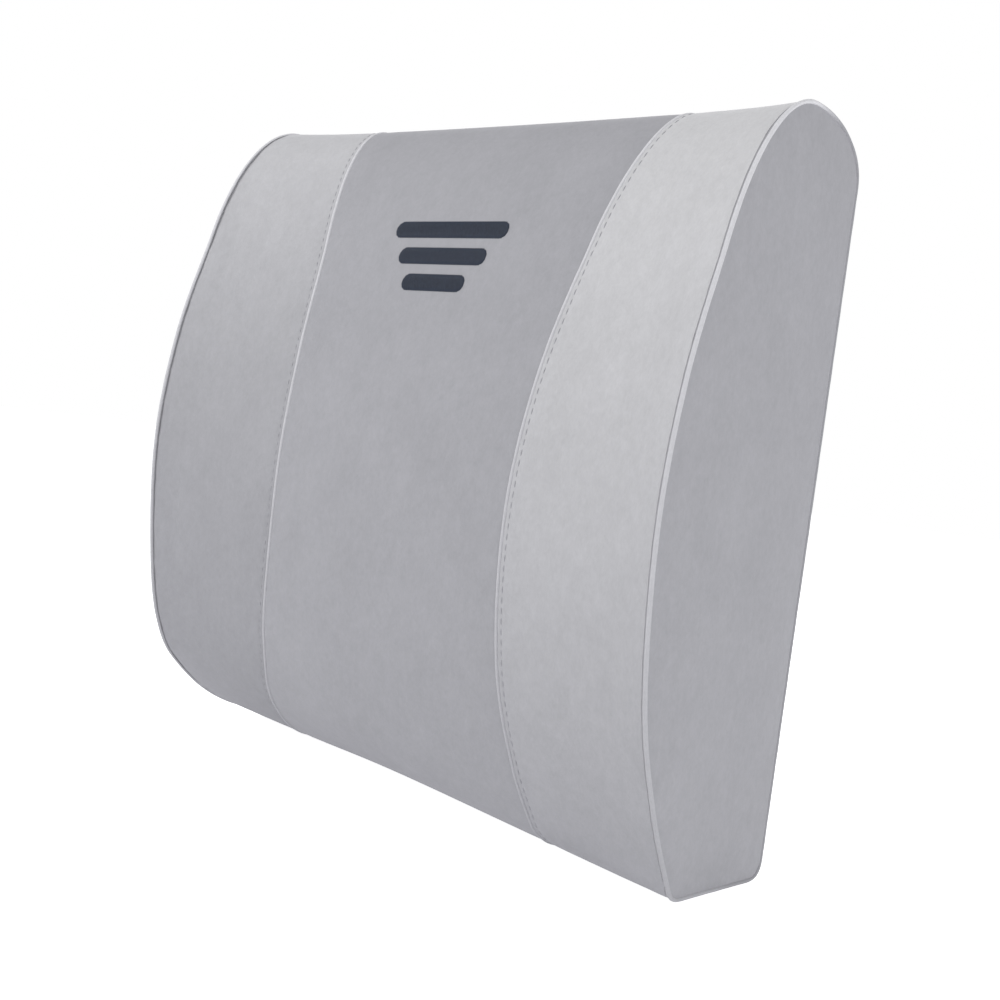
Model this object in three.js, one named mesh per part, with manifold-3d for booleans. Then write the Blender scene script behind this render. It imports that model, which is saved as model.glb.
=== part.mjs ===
// Lumbar support cushion: a D-section foam block in a sewn, zipped cover with a buckled chair strap.
// Units are millimetres. X runs across the cushion, Y from front (-) to back (+), and Z is up.
// Pieces are drawn with the back face on y = 0. The assembly then moves them back by BASE_MIDDLE,
// which puts the origin in the middle of the flat base that the cushion stands on.
import * as THREE from 'three';
import { mergeVertices } from 'three/addons/utils/BufferGeometryUtils.js';
import Module from 'manifold-3d';

const wasm = await Module();
wasm.setup();

// ---------------------------------------------------------------- driving dimensions
const HEIGHT = 330;
const WIDTH = 328;
const DEPTH = 115;
const BASE_DEPTH = 58;
const BASE_MIDDLE = 22; // from the back face to the middle of the flat base
const BACK_TOP = 304; // height at which the flat back starts to round over into the crest
const CREST_DEPTH = 42; // how far the highest line lies in front of the back face
const HEEL_ROUND = 9;
const TOE_ROUND = 24;
const BROW_DEPTH = 61; // half axes of the ellipse that rounds the front over into the crest
const BROW_HEIGHT = 129;
const BROW_START = 0.48; // radians above its horizontal axis
const HOLLOW_BASE = 0.06; // share of the depth scooped out of the middle at the base
const HOLLOW_CREST = 0.18; // the same share at the crest
const HOLLOW_POWER = 4.2; // how late the scooped front flares forward again towards the ends

const CLOTH = 1.5; // cover cloth with its bonded backing
const GAP = 0.3; // clearance between neighbouring pieces
const PIPING_RADIUS = 1.2;
const END_CROWN = 4; // how far the foam pushes each end panel out at its middle
const PROFILE_DETAIL = 3; // facets on each curve of the body profile

const ZIP_HEIGHT = 38;
const ZIP_HALF = 135; // half the length of the coils
const ZIP_OPENING = 7; // half height of the slot that the coils show through
const TAPE = 0.6;
const TAPE_HALF = ZIP_HALF + 4; // the tapes run on a little past the coils
const TAPE_REACH = 15; // from the middle of the zip to the tape's sewn edge
const COIL = 1.4;

const STRAP_HEIGHT = 165;
const WEB_WIDTH = 25;
const WEB = 1.2;
const ANCHOR = 124; // where each strap end is sewn down, from the middle
const BUCKLE_WIDTH = 33;
const BUCKLE_THICK = 10;

// ---------------------------------------------------------------- materials
function finish(color, roughness, metalness = 0) {
  return new THREE.MeshStandardMaterial({ color, roughness, metalness });
}

const centreVelour = () => finish(0x9a999f, 0.95);
const wingVelour = () => finish(0xbdbcc0, 0.95);
const backCloth = () => finish(0x8b8a90, 0.95);
const pipingVelour = () => finish(0xc6c5ca, 0.9);
const polyurethane = () => finish(0xe6dfc9, 0.9);
const zipTape = () => finish(0x77767c, 0.85);
const nylonCoil = () => finish(0x6c6b71, 0.5);
const zipMetal = () => finish(0x8f9094, 0.35, 0.9);
const webbing = () => finish(0x5a5a60, 0.85);
const buckleAcetal = () => finish(0x3a3a3e, 0.45);
const darkThread = () => finish(0x3d4656, 0.7);

// ---------------------------------------------------------------- solids
function closedGeometry(positions, index) {
  const geometry = new THREE.BufferGeometry();
  geometry.setAttribute('position', new THREE.Float32BufferAttribute(positions, 3));
  if (signedVolume(positions, index) < 0) index.reverse();
  geometry.setIndex(index);
  return geometry;
}

function signedVolume(positions, index) {
  const corner = (i) => new THREE.Vector3().fromArray(positions, 3 * i);
  let total = 0;
  for (let i = 0; i < index.length; i += 3) {
    const [a, b, c] = [corner(index[i]), corner(index[i + 1]), corner(index[i + 2])];
    total += a.dot(b.cross(c)) / 6;
  }
  return total;
}

// Joins a row of closed rings into one body, with a fan over the first ring and over the last.
function loft(rings) {
  const count = rings[0].length;
  const positions = rings.flat().flatMap((p) => p.toArray());
  const index = [];
  for (let r = 0; r + 1 < rings.length; r += 1) {
    for (let i = 0; i < count; i += 1) {
      const a = r * count + i;
      const b = r * count + ((i + 1) % count);
      index.push(a, b, b + count, a, b + count, a + count);
    }
  }
  addFan(positions, index, rings[0], 0, true);
  addFan(positions, index, rings.at(-1), (rings.length - 1) * count, false);
  return closedGeometry(positions, index);
}

function addFan(positions, index, ring, first, reversed) {
  const middle = ring.reduce((sum, p) => sum.add(p), new THREE.Vector3()).divideScalar(ring.length);
  const hub = positions.length / 3;
  positions.push(...middle.toArray());
  ring.forEach((_, i) => {
    const a = first + i;
    const b = first + ((i + 1) % ring.length);
    index.push(...(reversed ? [hub, b, a] : [hub, a, b]));
  });
}

// A sheet with thickness: two grids of points, one outside and one inside, joined round their edge.
function sheet(outer, inner) {
  const rows = outer.length;
  const columns = outer[0].length;
  const positions = [outer, inner].flat(2).flatMap((p) => p.toArray());
  const at = (side, r, c) => (side * rows + r) * columns + c;
  const index = [];
  const quad = (a, b, c, d) => index.push(a, b, c, a, c, d);
  for (let r = 0; r + 1 < rows; r += 1) {
    for (let c = 0; c + 1 < columns; c += 1) {
      quad(at(0, r, c), at(0, r, c + 1), at(0, r + 1, c + 1), at(0, r + 1, c));
      quad(at(1, r, c), at(1, r + 1, c), at(1, r + 1, c + 1), at(1, r, c + 1));
    }
    quad(at(0, r, 0), at(0, r + 1, 0), at(1, r + 1, 0), at(1, r, 0));
    const last = columns - 1;
    quad(at(0, r, last), at(1, r, last), at(1, r + 1, last), at(0, r + 1, last));
  }
  for (let c = 0; c + 1 < columns; c += 1) {
    quad(at(0, 0, c), at(1, 0, c), at(1, 0, c + 1), at(0, 0, c + 1));
    const last = rows - 1;
    quad(at(0, last, c), at(0, last, c + 1), at(1, last, c + 1), at(1, last, c));
  }
  return closedGeometry(positions, index);
}

function box([x0, x1], [y0, y1], [z0, z1]) {
  const geometry = new THREE.BoxGeometry(x1 - x0, y1 - y0, z1 - z0);
  return geometry.translate((x0 + x1) / 2, (y0 + y1) / 2, (z0 + z1) / 2);
}

// Extrudes an outline drawn in X and Z along Y.
function plate(outline, [y0, y1], curveSegments = 4) {
  const options = { depth: y1 - y0, bevelEnabled: false, curveSegments };
  return new THREE.ExtrudeGeometry(outline, options).rotateX(Math.PI / 2).translate(0, y1, 0);
}

function roundedOutline([x0, x1], [z0, z1], r) {
  const outline = new THREE.Shape();
  outline.absarc(x0 + r, z0 + r, r, Math.PI, 1.5 * Math.PI);
  outline.absarc(x1 - r, z0 + r, r, 1.5 * Math.PI, 2 * Math.PI);
  outline.absarc(x1 - r, z1 - r, r, 0, 0.5 * Math.PI);
  outline.absarc(x0 + r, z1 - r, r, 0.5 * Math.PI, Math.PI);
  return outline;
}

function toSolid(geometry) {
  const bare = geometry.clone();
  bare.deleteAttribute('normal');
  bare.deleteAttribute('uv');
  const merged = mergeVertices(bare);
  const vertProperties = new Float32Array(merged.attributes.position.array);
  const triVerts = new Uint32Array(merged.index.array);
  return new wasm.Manifold(new wasm.Mesh({ numProp: 3, vertProperties, triVerts }));
}

function toGeometry(solid) {
  const { vertProperties, triVerts } = solid.getMesh();
  const geometry = new THREE.BufferGeometry();
  geometry.setAttribute('position', new THREE.BufferAttribute(vertProperties, 3));
  geometry.setIndex(new THREE.BufferAttribute(triVerts, 1));
  return geometry;
}

function join(parts) {
  return toGeometry(parts.map(toSolid).reduce((sum, part) => sum.add(part)));
}

function carve(body, cuts) {
  return toGeometry(cuts.map(toSolid).reduce((rest, cut) => rest.subtract(cut), toSolid(body)));
}

// ---------------------------------------------------------------- body profile
// The profile runs from the heel along the base, up the bellied front, over the crest and down to
// the top of the flat back. Each point is (depth in front of the back face, height).
function wrapPath() {
  const path = new THREE.Path();
  path.moveTo(0, HEEL_ROUND);
  path.quadraticCurveTo(0, 0, HEEL_ROUND, 0);
  path.lineTo(BASE_DEPTH - TOE_ROUND, 0);
  path.quadraticCurveTo(BASE_DEPTH, 0, BASE_DEPTH + 0.7 * TOE_ROUND, 0.72 * TOE_ROUND);
  const browLow = HEIGHT - BROW_HEIGHT;
  path.splineThru([
    new THREE.Vector2(0.79 * DEPTH, 38),
    new THREE.Vector2(0.93 * DEPTH, 84),
    new THREE.Vector2(DEPTH, 151),
    new THREE.Vector2(0.953 * DEPTH, 210),
    new THREE.Vector2(
      CREST_DEPTH + BROW_DEPTH * Math.cos(BROW_START),
      browLow + BROW_HEIGHT * Math.sin(BROW_START),
    ),
  ]);
  path.absellipse(CREST_DEPTH, browLow, BROW_DEPTH, BROW_HEIGHT, BROW_START, 0.5 * Math.PI);
  path.absellipse(CREST_DEPTH, BACK_TOP, CREST_DEPTH, HEIGHT - BACK_TOP, 0.5 * Math.PI, Math.PI);
  return path;
}

const WRAP = wrapPath().getPoints(PROFILE_DETAIL);
const WRAP_STEPS = WRAP.length - 1;
const INWARD = WRAP.map((_, i) => {
  const along = WRAP[Math.min(i + 1, WRAP_STEPS)].clone().sub(WRAP[Math.max(i - 1, 0)]);
  return new THREE.Vector2(-along.y, along.x).normalize();
});

// The front is scooped across its width, so the wings stand further forward than the middle.
function scoop(x, z) {
  const share = THREE.MathUtils.lerp(HOLLOW_BASE, HOLLOW_CREST, z / HEIGHT);
  return 1 - share * (1 - Math.min(1, Math.abs((2 * x) / WIDTH)) ** HOLLOW_POWER);
}

// A point of the wrapped surface, moved inwards by inset.
function wrapPoint(step, x, inset = 0) {
  const p = WRAP[step].clone().addScaledVector(INWARD[step], inset);
  return new THREE.Vector3(x, -p.x * scoop(x, p.y), p.y);
}

function range(count, from, to) {
  return Array.from({ length: count + 1 }, (_, i) => from + ((to - from) * i) / count);
}

// The closed end outline at one x: the wrap, then straight down the back face.
function endOutline(x, inset) {
  const wrap = WRAP.map((_, step) => wrapPoint(step, x, inset));
  const back = range(6, BACK_TOP, HEEL_ROUND).slice(1, -1);
  return [...wrap, ...back.map((z) => new THREE.Vector3(x, -inset, z))];
}

// ---------------------------------------------------------------- cover
// Half the distance between the two front seams: an hourglass, widest at the crest.
function seamHalf(step) {
  const t = WRAP[step].y / HEIGHT;
  return 89 - 63 * t + 72 * t * t;
}

const SEAM_ROOM = PIPING_RADIUS + GAP;
const SIDE_SEAM = WIDTH / 2 - PIPING_RADIUS;

function wrapPanel(left, right, columns) {
  const grid = (inset) =>
    WRAP.map((_, step) =>
      range(columns, left(step), right(step)).map((x) => wrapPoint(step, x, inset)));
  return sheet(grid(0), grid(CLOTH));
}

const frontCentrePanel = () =>
  wrapPanel((step) => SEAM_ROOM - seamHalf(step), (step) => seamHalf(step) - SEAM_ROOM, 7);

const frontRightPanel = () =>
  wrapPanel((step) => seamHalf(step) + SEAM_ROOM, () => SIDE_SEAM - SEAM_ROOM, 4);

const frontLeftPanel = () =>
  wrapPanel(() => SEAM_ROOM - SIDE_SEAM, (step) => -seamHalf(step) - SEAM_ROOM, 4);

// The rings of a crowned end: each is the outline drawn in towards the middle and pushed outwards.
function crownRings(x, side, inset) {
  const outline = endOutline(x, inset);
  const middle = new THREE.Vector3(x, -0.45 * DEPTH, 0.47 * HEIGHT);
  return [0, 0.12, 0.4, 0.75].map((t) =>
    outline.map((p) => {
      const q = p.clone().lerp(middle, t);
      q.x += side * END_CROWN * (1 - (1 - t) ** 2);
      return q;
    }));
}

function sidePanel(side) {
  const face = side * (WIDTH / 2 - 0.4);
  const outside = crownRings(face, side, SEAM_ROOM);
  const inside = crownRings(face - side * CLOTH, side, SEAM_ROOM);
  return loft([...inside.reverse(), ...outside]);
}

function frontPiping(side) {
  return cord(WRAP.map((_, step) => wrapPoint(step, side * seamHalf(step))));
}

// The cord's two ends meet under the base, half way along it.
function sidePiping(side) {
  const outline = endOutline(side * SIDE_SEAM, 0);
  const start = WRAP.findIndex((p) => p.x > BASE_DEPTH / 3);
  const around = [...outline.slice(start), ...outline.slice(0, start)];
  const split = around[0].clone().lerp(around.at(-1), 0.5);
  const end = (p) => split.clone().lerp(p, 0.05);
  return cord([end(around[0]), ...around, end(around.at(-1))]);
}

// A round cord along a row of points, as one ring of corners at each.
function cord(points) {
  const across = new THREE.Vector3(1, 0, 0);
  const rings = points.map((p, i) => {
    const next = points[Math.min(i + 1, points.length - 1)];
    const along = next.clone().sub(points[Math.max(i - 1, 0)]).normalize();
    const up = along.clone().cross(across).normalize();
    const side = up.clone().cross(along);
    return range(6, 0, 2 * Math.PI).slice(1).map((angle) => p.clone()
      .addScaledVector(side, PIPING_RADIUS * Math.cos(angle))
      .addScaledVector(up, PIPING_RADIUS * Math.sin(angle)));
  });
  return loft(rings);
}

// Each back panel is cut away round the coils and meets its partner beyond the zip's ends.
function backPanel(sign, heights) {
  const edge = SIDE_SEAM - SEAM_ROOM;
  const slot = TAPE_HALF;
  const columns = [-edge, -slot - 2, -slot, slot, slot + 2, edge];
  const lip = (x) => ZIP_HEIGHT + sign * (Math.abs(x) > slot ? GAP : ZIP_OPENING);
  const grid = (y) => [
    columns.map((x) => new THREE.Vector3(x, y, lip(x))),
    ...heights.map((z) => columns.map((x) => new THREE.Vector3(x, y, z))),
  ];
  return sheet(grid(0), grid(-CLOTH));
}

const aboveStrap = STRAP_HEIGHT + BUCKLE_WIDTH / 2 + 3;
const belowStrap = STRAP_HEIGHT - BUCKLE_WIDTH / 2 - 3;
const backPanelUpper = () => backPanel(1, [belowStrap, aboveStrap, BACK_TOP - 2 * GAP]);
const backPanelLower = () => backPanel(-1, [HEEL_ROUND + 2 * GAP]);

// ---------------------------------------------------------------- foam
const FOAM_INSET = CLOTH + 2 * GAP;
const TAPE_OUTSIDE = -CLOTH - GAP;
const FOAM_BACK = TAPE_OUTSIDE - TAPE - GAP;

// One moulded block. A shallow trough behind the zip leaves room for the slider's inner plate.
function foamCore() {
  const end = WIDTH / 2 - 0.4 - CLOTH - GAP;
  const angles = range(16, -0.5 * Math.PI, 0.5 * Math.PI); // closer sections where the wings flare
  const sections = angles.map((angle) => endOutline(end * Math.sin(angle), FOAM_INSET));
  const leftEnd = crownRings(-end, -1, FOAM_INSET).slice(1).reverse();
  const rightEnd = crownRings(end, 1, FOAM_INSET).slice(1);
  const block = loft([...leftEnd, ...sections, ...rightEnd]);
  const beyond = WIDTH;
  const reach = ZIP_HALF + 6;
  return carve(block, [
    box([-beyond, beyond], [FOAM_BACK, 1], [-1, HEIGHT]),
    box([-reach, reach], [FOAM_BACK - 1.6, 1], [ZIP_HEIGHT - 9, ZIP_HEIGHT + 9]),
  ]);
}

// ---------------------------------------------------------------- zip
const COIL_INNER = 1.1; // the halves leave this much each side of the slider's wedge
const COIL_OUTER = 2.8;
const COIL_BASE = TAPE_OUTSIDE + GAP;
const COIL_TOP = COIL_BASE + COIL;
const SLIDER_X = ZIP_HALF - 11;
const TAB_AXIS_Y = COIL_TOP + GAP + 1.9;

function band(sign, near, far) {
  return [ZIP_HEIGHT + sign * near, ZIP_HEIGHT + sign * far].sort((a, b) => a - b);
}

function zipTapeStrip(sign) {
  const y = [TAPE_OUTSIDE - TAPE, TAPE_OUTSIDE];
  return box([-TAPE_HALF, TAPE_HALF], y, band(sign, COIL_INNER, TAPE_REACH));
}

function zipCoil(sign) {
  return box([-ZIP_HALF, ZIP_HALF], [COIL_BASE, COIL_TOP], band(sign, COIL_INNER, COIL_OUTER));
}

function zipStop(side) {
  const x = [side * (ZIP_HALF + GAP), side * (ZIP_HALF + 3)].sort((a, b) => a - b);
  return box(x, [COIL_BASE, COIL_TOP], band(1, -COIL_OUTER, COIL_OUTER));
}

function zipSlider() {
  const half = 5;
  const inner = TAPE_OUTSIDE - TAPE - GAP;
  const outer = COIL_TOP + GAP;
  const x = (from, to) => [SLIDER_X + from, SLIDER_X + to];
  const platform = (y) => plate(roundedOutline(x(-6.5, 6.5), band(1, -half, half), 2.5), y);
  const flange = (sign) => box(x(-4, 4), [COIL_BASE, outer + 0.5], band(sign, half - 0.8, half));
  return join([
    platform([inner - 0.8, inner]),
    platform([outer, outer + 0.8]),
    box(x(1.5, 5), [inner - 0.4, outer + 0.4], band(1, -0.7, 0.7)),
    flange(1),
    flange(-1),
    box(x(-3.6, -2.4), [outer + 0.4, outer + 3.8], band(1, -0.9, 0.9)),
    box(x(2.4, 3.6), [outer + 0.4, outer + 3.8], band(1, -0.9, 0.9)),
    box(x(-3.6, 3.6), [outer + 2.8, outer + 3.8], band(1, -0.9, 0.9)),
  ]);
}

// The tab hangs on the slider's arch by a crossbar, so it can flip end over end.
function zipPullTab() {
  const y = (half) => [TAB_AXIS_Y - half, TAB_AXIS_Y + half];
  const crossbar = new THREE.CylinderGeometry(0.6, 0.6, 4.6, 8);
  crossbar.rotateX(Math.PI / 2).translate(SLIDER_X, TAB_AXIS_Y, ZIP_HEIGHT);
  const arm = (sign) => box([SLIDER_X - 8, SLIDER_X + 0.6], y(0.6), band(sign, 1.4, 2.3));
  const grip = plate(roundedOutline([SLIDER_X - 30, SLIDER_X - 6], band(1, -3.2, 3.2), 2.4), y(0.7));
  return join([crossbar, arm(1), arm(-1), grip]);
}

// ---------------------------------------------------------------- strap and buckle
// The buckle's parting line is at x = 0. The socket is on the left strap and the plug on the right.
const WEB_FLAT = 0.4 + WEB / 2; // a web lying on the back face
const BUCKLE_BACK = 0.5;
const BUCKLE_Y = BUCKLE_BACK + BUCKLE_THICK / 2;
const BAR_HALF = 1.6;
const OVER_BAR = BAR_HALF + GAP + WEB / 2;
const SOCKET_LENGTH = 39;
const PLUG_LENGTH = 22;
const PLUG_BAR = 13.25; // where the elastic turns round the plug
const BEND = 0.7; // chamfer on a web's sharp turns
const POCKET_HALF = 13.3;
const WALL_Y = 1.8;

// A web of even thickness that follows a path drawn in X and Y.
function web(points) {
  const line = points.map(([x, y]) => new THREE.Vector2(x, y));
  const side = (sign) => line.map((p, i) => {
    const along = line[Math.min(i + 1, line.length - 1)].clone().sub(line[Math.max(i - 1, 0)]).normalize();
    return new THREE.Vector2(p.x - sign * along.y * WEB / 2, p.y + sign * along.x * WEB / 2);
  });
  const outline = new THREE.Shape([...side(1), ...side(-1).reverse()]);
  const geometry = new THREE.ExtrudeGeometry(outline, { depth: WEB_WIDTH, bevelEnabled: false });
  return geometry.translate(0, 0, STRAP_HEIGHT - WEB_WIDTH / 2);
}

// Sewn to the left of the back, round the socket's bar, and stitched back onto itself.
function strapLeft() {
  const bar = -SOCKET_LENGTH + 2.5;
  const slot = bar + 2 + GAP + WEB / 2;
  const [low, high] = buckleY(OVER_BAR);
  const tail = WEB_FLAT + WEB + GAP;
  return web([
    [-ANCHOR, WEB_FLAT], [bar - 12, WEB_FLAT], [bar - 4, low],
    [slot - BEND, low], [slot, low + BEND], [slot, high - BEND], [slot - BEND, high],
    [bar - 4, high], [bar - 14, tail], [bar - 42, tail],
  ]);
}

// Elastic: sewn to the right of the back, up through the plug, and its free tail lies back along it.
function strapRight() {
  const inSlot = PLUG_BAR - 2 - GAP - WEB / 2;
  const outSlot = PLUG_BAR + 2 + GAP + WEB / 2;
  const high = BUCKLE_Y + OVER_BAR;
  const tail = WEB_FLAT + WEB + 2 * GAP;
  return web([
    [ANCHOR, WEB_FLAT], [inSlot + BEND, WEB_FLAT], [inSlot, WEB_FLAT + BEND],
    [inSlot, high - BEND], [inSlot + BEND, high], [outSlot - BEND, high], [outSlot, high - BEND],
    [outSlot, tail + BEND], [outSlot + BEND, tail], [outSlot + 48, tail],
  ]);
}

function atStrap(from, to) {
  return [STRAP_HEIGHT + from, STRAP_HEIGHT + to];
}

function buckleY(half) {
  return [BUCKLE_Y - half, BUCKLE_Y + half];
}

function buckleSocket() {
  const half = BUCKLE_WIDTH / 2;
  const back = -SOCKET_LENGTH;
  const body = plate(roundedOutline([back, 0], atStrap(-half, half), 4), buckleY(BUCKLE_THICK / 2));
  const slot = [back + 4.5, back + 8.3];
  const window = [-26.6, -14.3];
  return carve(body, [
    box([back + 10, 1], buckleY(BUCKLE_THICK / 2 - WALL_Y), atStrap(-POCKET_HALF, POCKET_HALF)),
    box(window, buckleY(BUCKLE_THICK / 2 - WALL_Y), atStrap(-half - 1, half + 1)),
    box(slot, buckleY(BUCKLE_THICK), atStrap(-13, 13)),
    box([back - 1, slot[1]], [BUCKLE_Y + BAR_HALF, BUCKLE_Y + BUCKLE_THICK], atStrap(-13, 13)),
    box([back - 1, slot[1]], [BUCKLE_Y - BUCKLE_THICK, BUCKLE_Y - BAR_HALF], atStrap(-13, 13)),
  ]);
}

function bucklePlug() {
  const half = BUCKLE_WIDTH / 2;
  const outline = roundedOutline([0.4, PLUG_LENGTH], atStrap(-half, half), 3);
  const body = plate(outline, buckleY(BUCKLE_THICK / 2));
  const tongue = plate(roundedOutline([-24, 2], atStrap(-2.2, 2.2), 1.5), buckleY(2.6));
  const open = (from, to) => box([from, to], buckleY(BUCKLE_THICK), atStrap(-13, 13));
  const thin = (low, high) => box([5, PLUG_LENGTH + 1], [low, high], atStrap(-13, 13));
  const base = carve(body, [
    open(PLUG_BAR - 5.5, PLUG_BAR - 2),
    open(PLUG_BAR + 2, PLUG_BAR + 5.5),
    thin(BUCKLE_Y + BAR_HALF, BUCKLE_Y + BUCKLE_THICK),
    thin(BUCKLE_Y - BUCKLE_THICK, BUCKLE_Y - BAR_HALF),
  ]);
  return join([base, tongue]);
}

// A sprung arm: it bends in at its root, which frees its catch from the socket's side window.
function buckleArm(sign) {
  const outline = new THREE.Shape([
    [0.1, 7.6], [0.1, 10], [-13.9, 10.8], [-14.6, 11.4], [-14.6, 15.1], [-20, 15.8],
    [-24, 13.6], [-25.6, 11], [-24.8, 9.4], [-15, 8.4],
  ].map(([x, z]) => new THREE.Vector2(x, STRAP_HEIGHT + sign * z)));
  return plate(outline, buckleY(BUCKLE_THICK / 2 - WALL_Y - GAP));
}

// Thread sewn as a crossed box through the strap's end.
function anchorStitch(side) {
  const y = [WEB_FLAT + WEB / 2 + GAP, WEB_FLAT + WEB / 2 + GAP + 0.5];
  const half = 9;
  const middle = side * (ANCHOR - 12);
  const rail = (z) => box([middle - half, middle + half], y, atStrap(z - 0.4, z + 0.4));
  const post = (x) => box([middle + x - 0.4, middle + x + 0.4], y, atStrap(-half, half));
  const diagonal = (angle) => {
    const run = new THREE.BoxGeometry(2 * Math.SQRT2 * half, y[1] - y[0], 0.8);
    return run.rotateY(angle).translate(middle, (y[0] + y[1]) / 2, STRAP_HEIGHT);
  };
  return join([
    rail(-half), rail(half), post(0.4 - half), post(half - 0.4),
    diagonal(Math.PI / 4), diagonal(-Math.PI / 4),
  ]);
}

// ---------------------------------------------------------------- emblem
const EMBLEM_HEIGHT = 257;

// The profile step, with its fraction, at which the front reaches a height.
function frontStep(z) {
  const step = WRAP.findIndex((p, i) => p.x > BASE_DEPTH / 2 && WRAP[i + 1].y > z);
  return step + (z - WRAP[step].y) / (WRAP[step + 1].y - WRAP[step].y);
}

function frontPoint(x, z, proud) {
  const step = Math.floor(frontStep(z));
  return wrapPoint(step, x, -proud).lerp(wrapPoint(step + 1, x, -proud), frontStep(z) - step);
}

// One of three embroidered bars, stacked and shorter towards the bottom.
function emblemBar(order) {
  const half = 36 - 8 * order;
  const middle = EMBLEM_HEIGHT + 13 * (1 - order);
  const rows = [[-4, half - 2.5], [-2, half], [2, half], [4, half - 2.5]];
  const grid = (proud) => rows.map(([dz, reach]) =>
    range(4, -reach, reach).map((x) => frontPoint(x, middle + dz, proud)));
  return sheet(grid(1.1), grid(0.5));
}

// ---------------------------------------------------------------- assembly
const cushion = new THREE.Group();

function add(name, geometry, material) {
  const mesh = new THREE.Mesh(geometry, material);
  mesh.name = name;
  mesh.position.y = BASE_MIDDLE;
  cushion.add(mesh);
}

add('foam_core', foamCore(), polyurethane());
add('front_centre_panel', frontCentrePanel(), centreVelour());
add('front_left_panel', frontLeftPanel(), wingVelour());
add('front_right_panel', frontRightPanel(), wingVelour());
add('left_side_panel', sidePanel(-1), centreVelour());
add('right_side_panel', sidePanel(1), centreVelour());
add('back_panel_upper', backPanelUpper(), backCloth());
add('back_panel_lower', backPanelLower(), backCloth());
add('front_left_piping', frontPiping(-1), pipingVelour());
add('front_right_piping', frontPiping(1), pipingVelour());
add('left_side_piping', sidePiping(-1), pipingVelour());
add('right_side_piping', sidePiping(1), pipingVelour());

add('zip_tape_upper', zipTapeStrip(1), zipTape());
add('zip_tape_lower', zipTapeStrip(-1), zipTape());
add('zip_coil_upper', zipCoil(1), nylonCoil());
add('zip_coil_lower', zipCoil(-1), nylonCoil());
add('zip_stop_left', zipStop(-1), zipMetal());
add('zip_stop_right', zipStop(1), zipMetal());
add('zip_slider', zipSlider(), zipMetal());
add('zip_pull_tab', zipPullTab(), zipMetal());

add('strap_left', strapLeft(), webbing());
add('strap_right', strapRight(), webbing());
add('buckle_socket', buckleSocket(), buckleAcetal());
add('buckle_plug', bucklePlug(), buckleAcetal());
add('buckle_arm_upper', buckleArm(1), buckleAcetal());
add('buckle_arm_lower', buckleArm(-1), buckleAcetal());
add('anchor_stitch_left', anchorStitch(-1), darkThread());
add('anchor_stitch_right', anchorStitch(1), darkThread());

add('emblem_bar_upper', emblemBar(0), darkThread());
add('emblem_bar_middle', emblemBar(1), darkThread());
add('emblem_bar_lower', emblemBar(2), darkThread());

export default cushion;
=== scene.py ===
"""Lumbar support cushion: its looks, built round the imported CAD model.

Lengths are in millimetres until make_object() turns a piece's points into metres.
The frame is the CAD model's: +X across, -Y towards the user, +Z up, origin in the middle of the base.
Left and right are as seen from the front, so left is -X.
"""

import math

import bpy
import numpy as np
from mathutils import Matrix, Vector
from mathutils.bvhtree import BVHTree


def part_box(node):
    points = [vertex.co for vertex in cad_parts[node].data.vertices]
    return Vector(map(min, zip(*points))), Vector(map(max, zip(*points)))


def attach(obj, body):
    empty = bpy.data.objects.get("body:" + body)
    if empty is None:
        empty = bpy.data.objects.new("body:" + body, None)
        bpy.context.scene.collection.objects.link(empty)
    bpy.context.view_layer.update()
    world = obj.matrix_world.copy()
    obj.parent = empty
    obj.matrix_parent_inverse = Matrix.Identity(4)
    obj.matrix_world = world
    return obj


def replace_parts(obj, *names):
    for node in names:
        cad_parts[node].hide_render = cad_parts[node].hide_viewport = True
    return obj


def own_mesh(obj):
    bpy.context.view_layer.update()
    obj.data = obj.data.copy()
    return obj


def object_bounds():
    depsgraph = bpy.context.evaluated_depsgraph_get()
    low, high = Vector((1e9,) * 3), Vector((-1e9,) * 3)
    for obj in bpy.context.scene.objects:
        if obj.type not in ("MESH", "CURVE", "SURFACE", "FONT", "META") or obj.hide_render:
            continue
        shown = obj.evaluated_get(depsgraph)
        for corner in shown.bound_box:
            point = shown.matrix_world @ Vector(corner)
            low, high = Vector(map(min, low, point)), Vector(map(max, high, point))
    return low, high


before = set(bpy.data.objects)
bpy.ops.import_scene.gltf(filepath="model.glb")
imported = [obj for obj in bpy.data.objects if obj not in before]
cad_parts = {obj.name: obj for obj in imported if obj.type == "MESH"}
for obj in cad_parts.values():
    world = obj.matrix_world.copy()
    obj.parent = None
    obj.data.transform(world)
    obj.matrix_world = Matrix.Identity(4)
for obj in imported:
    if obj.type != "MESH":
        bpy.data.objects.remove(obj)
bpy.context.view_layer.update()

MM = 0.001


def box_mm(node):
    """Lowest and highest corner of a CAD node, in millimetres."""
    low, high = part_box(node)
    return np.array(low) / MM, np.array(high) / MM


# ---- sizes from the frame
CLEARANCE = 0.3  # between neighbouring CAD pieces
BACK = box_mm("back_panel_upper")[1][1]
HEIGHT = box_mm("front_centre_panel")[1][2]
WIDTH = 2 * box_mm("right_side_piping")[1][0]
BACK_TOP = box_mm("back_panel_upper")[1][2] + 2 * CLEARANCE
ZIP_MIDDLE = box_mm("back_panel_lower")[1][2] - CLEARANCE  # the zip's halves mirror each other across it
STRAP_LOW, STRAP_HIGH = box_mm("strap_left")
STRAP_HEIGHT = (STRAP_LOW[2] + STRAP_HIGH[2]) / 2
SOCKET_LOW, SOCKET_HIGH = box_mm("buckle_socket")
PLUG_HIGH = box_mm("buckle_plug")[1]
ANCHOR = box_mm("strap_right")[1][0]  # the strap's ends are this far from the middle
COIL_LOW, COIL_HIGH = box_mm("zip_coil_upper")
TAPE_LOW, TAPE_HIGH = box_mm("zip_tape_upper")
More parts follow.
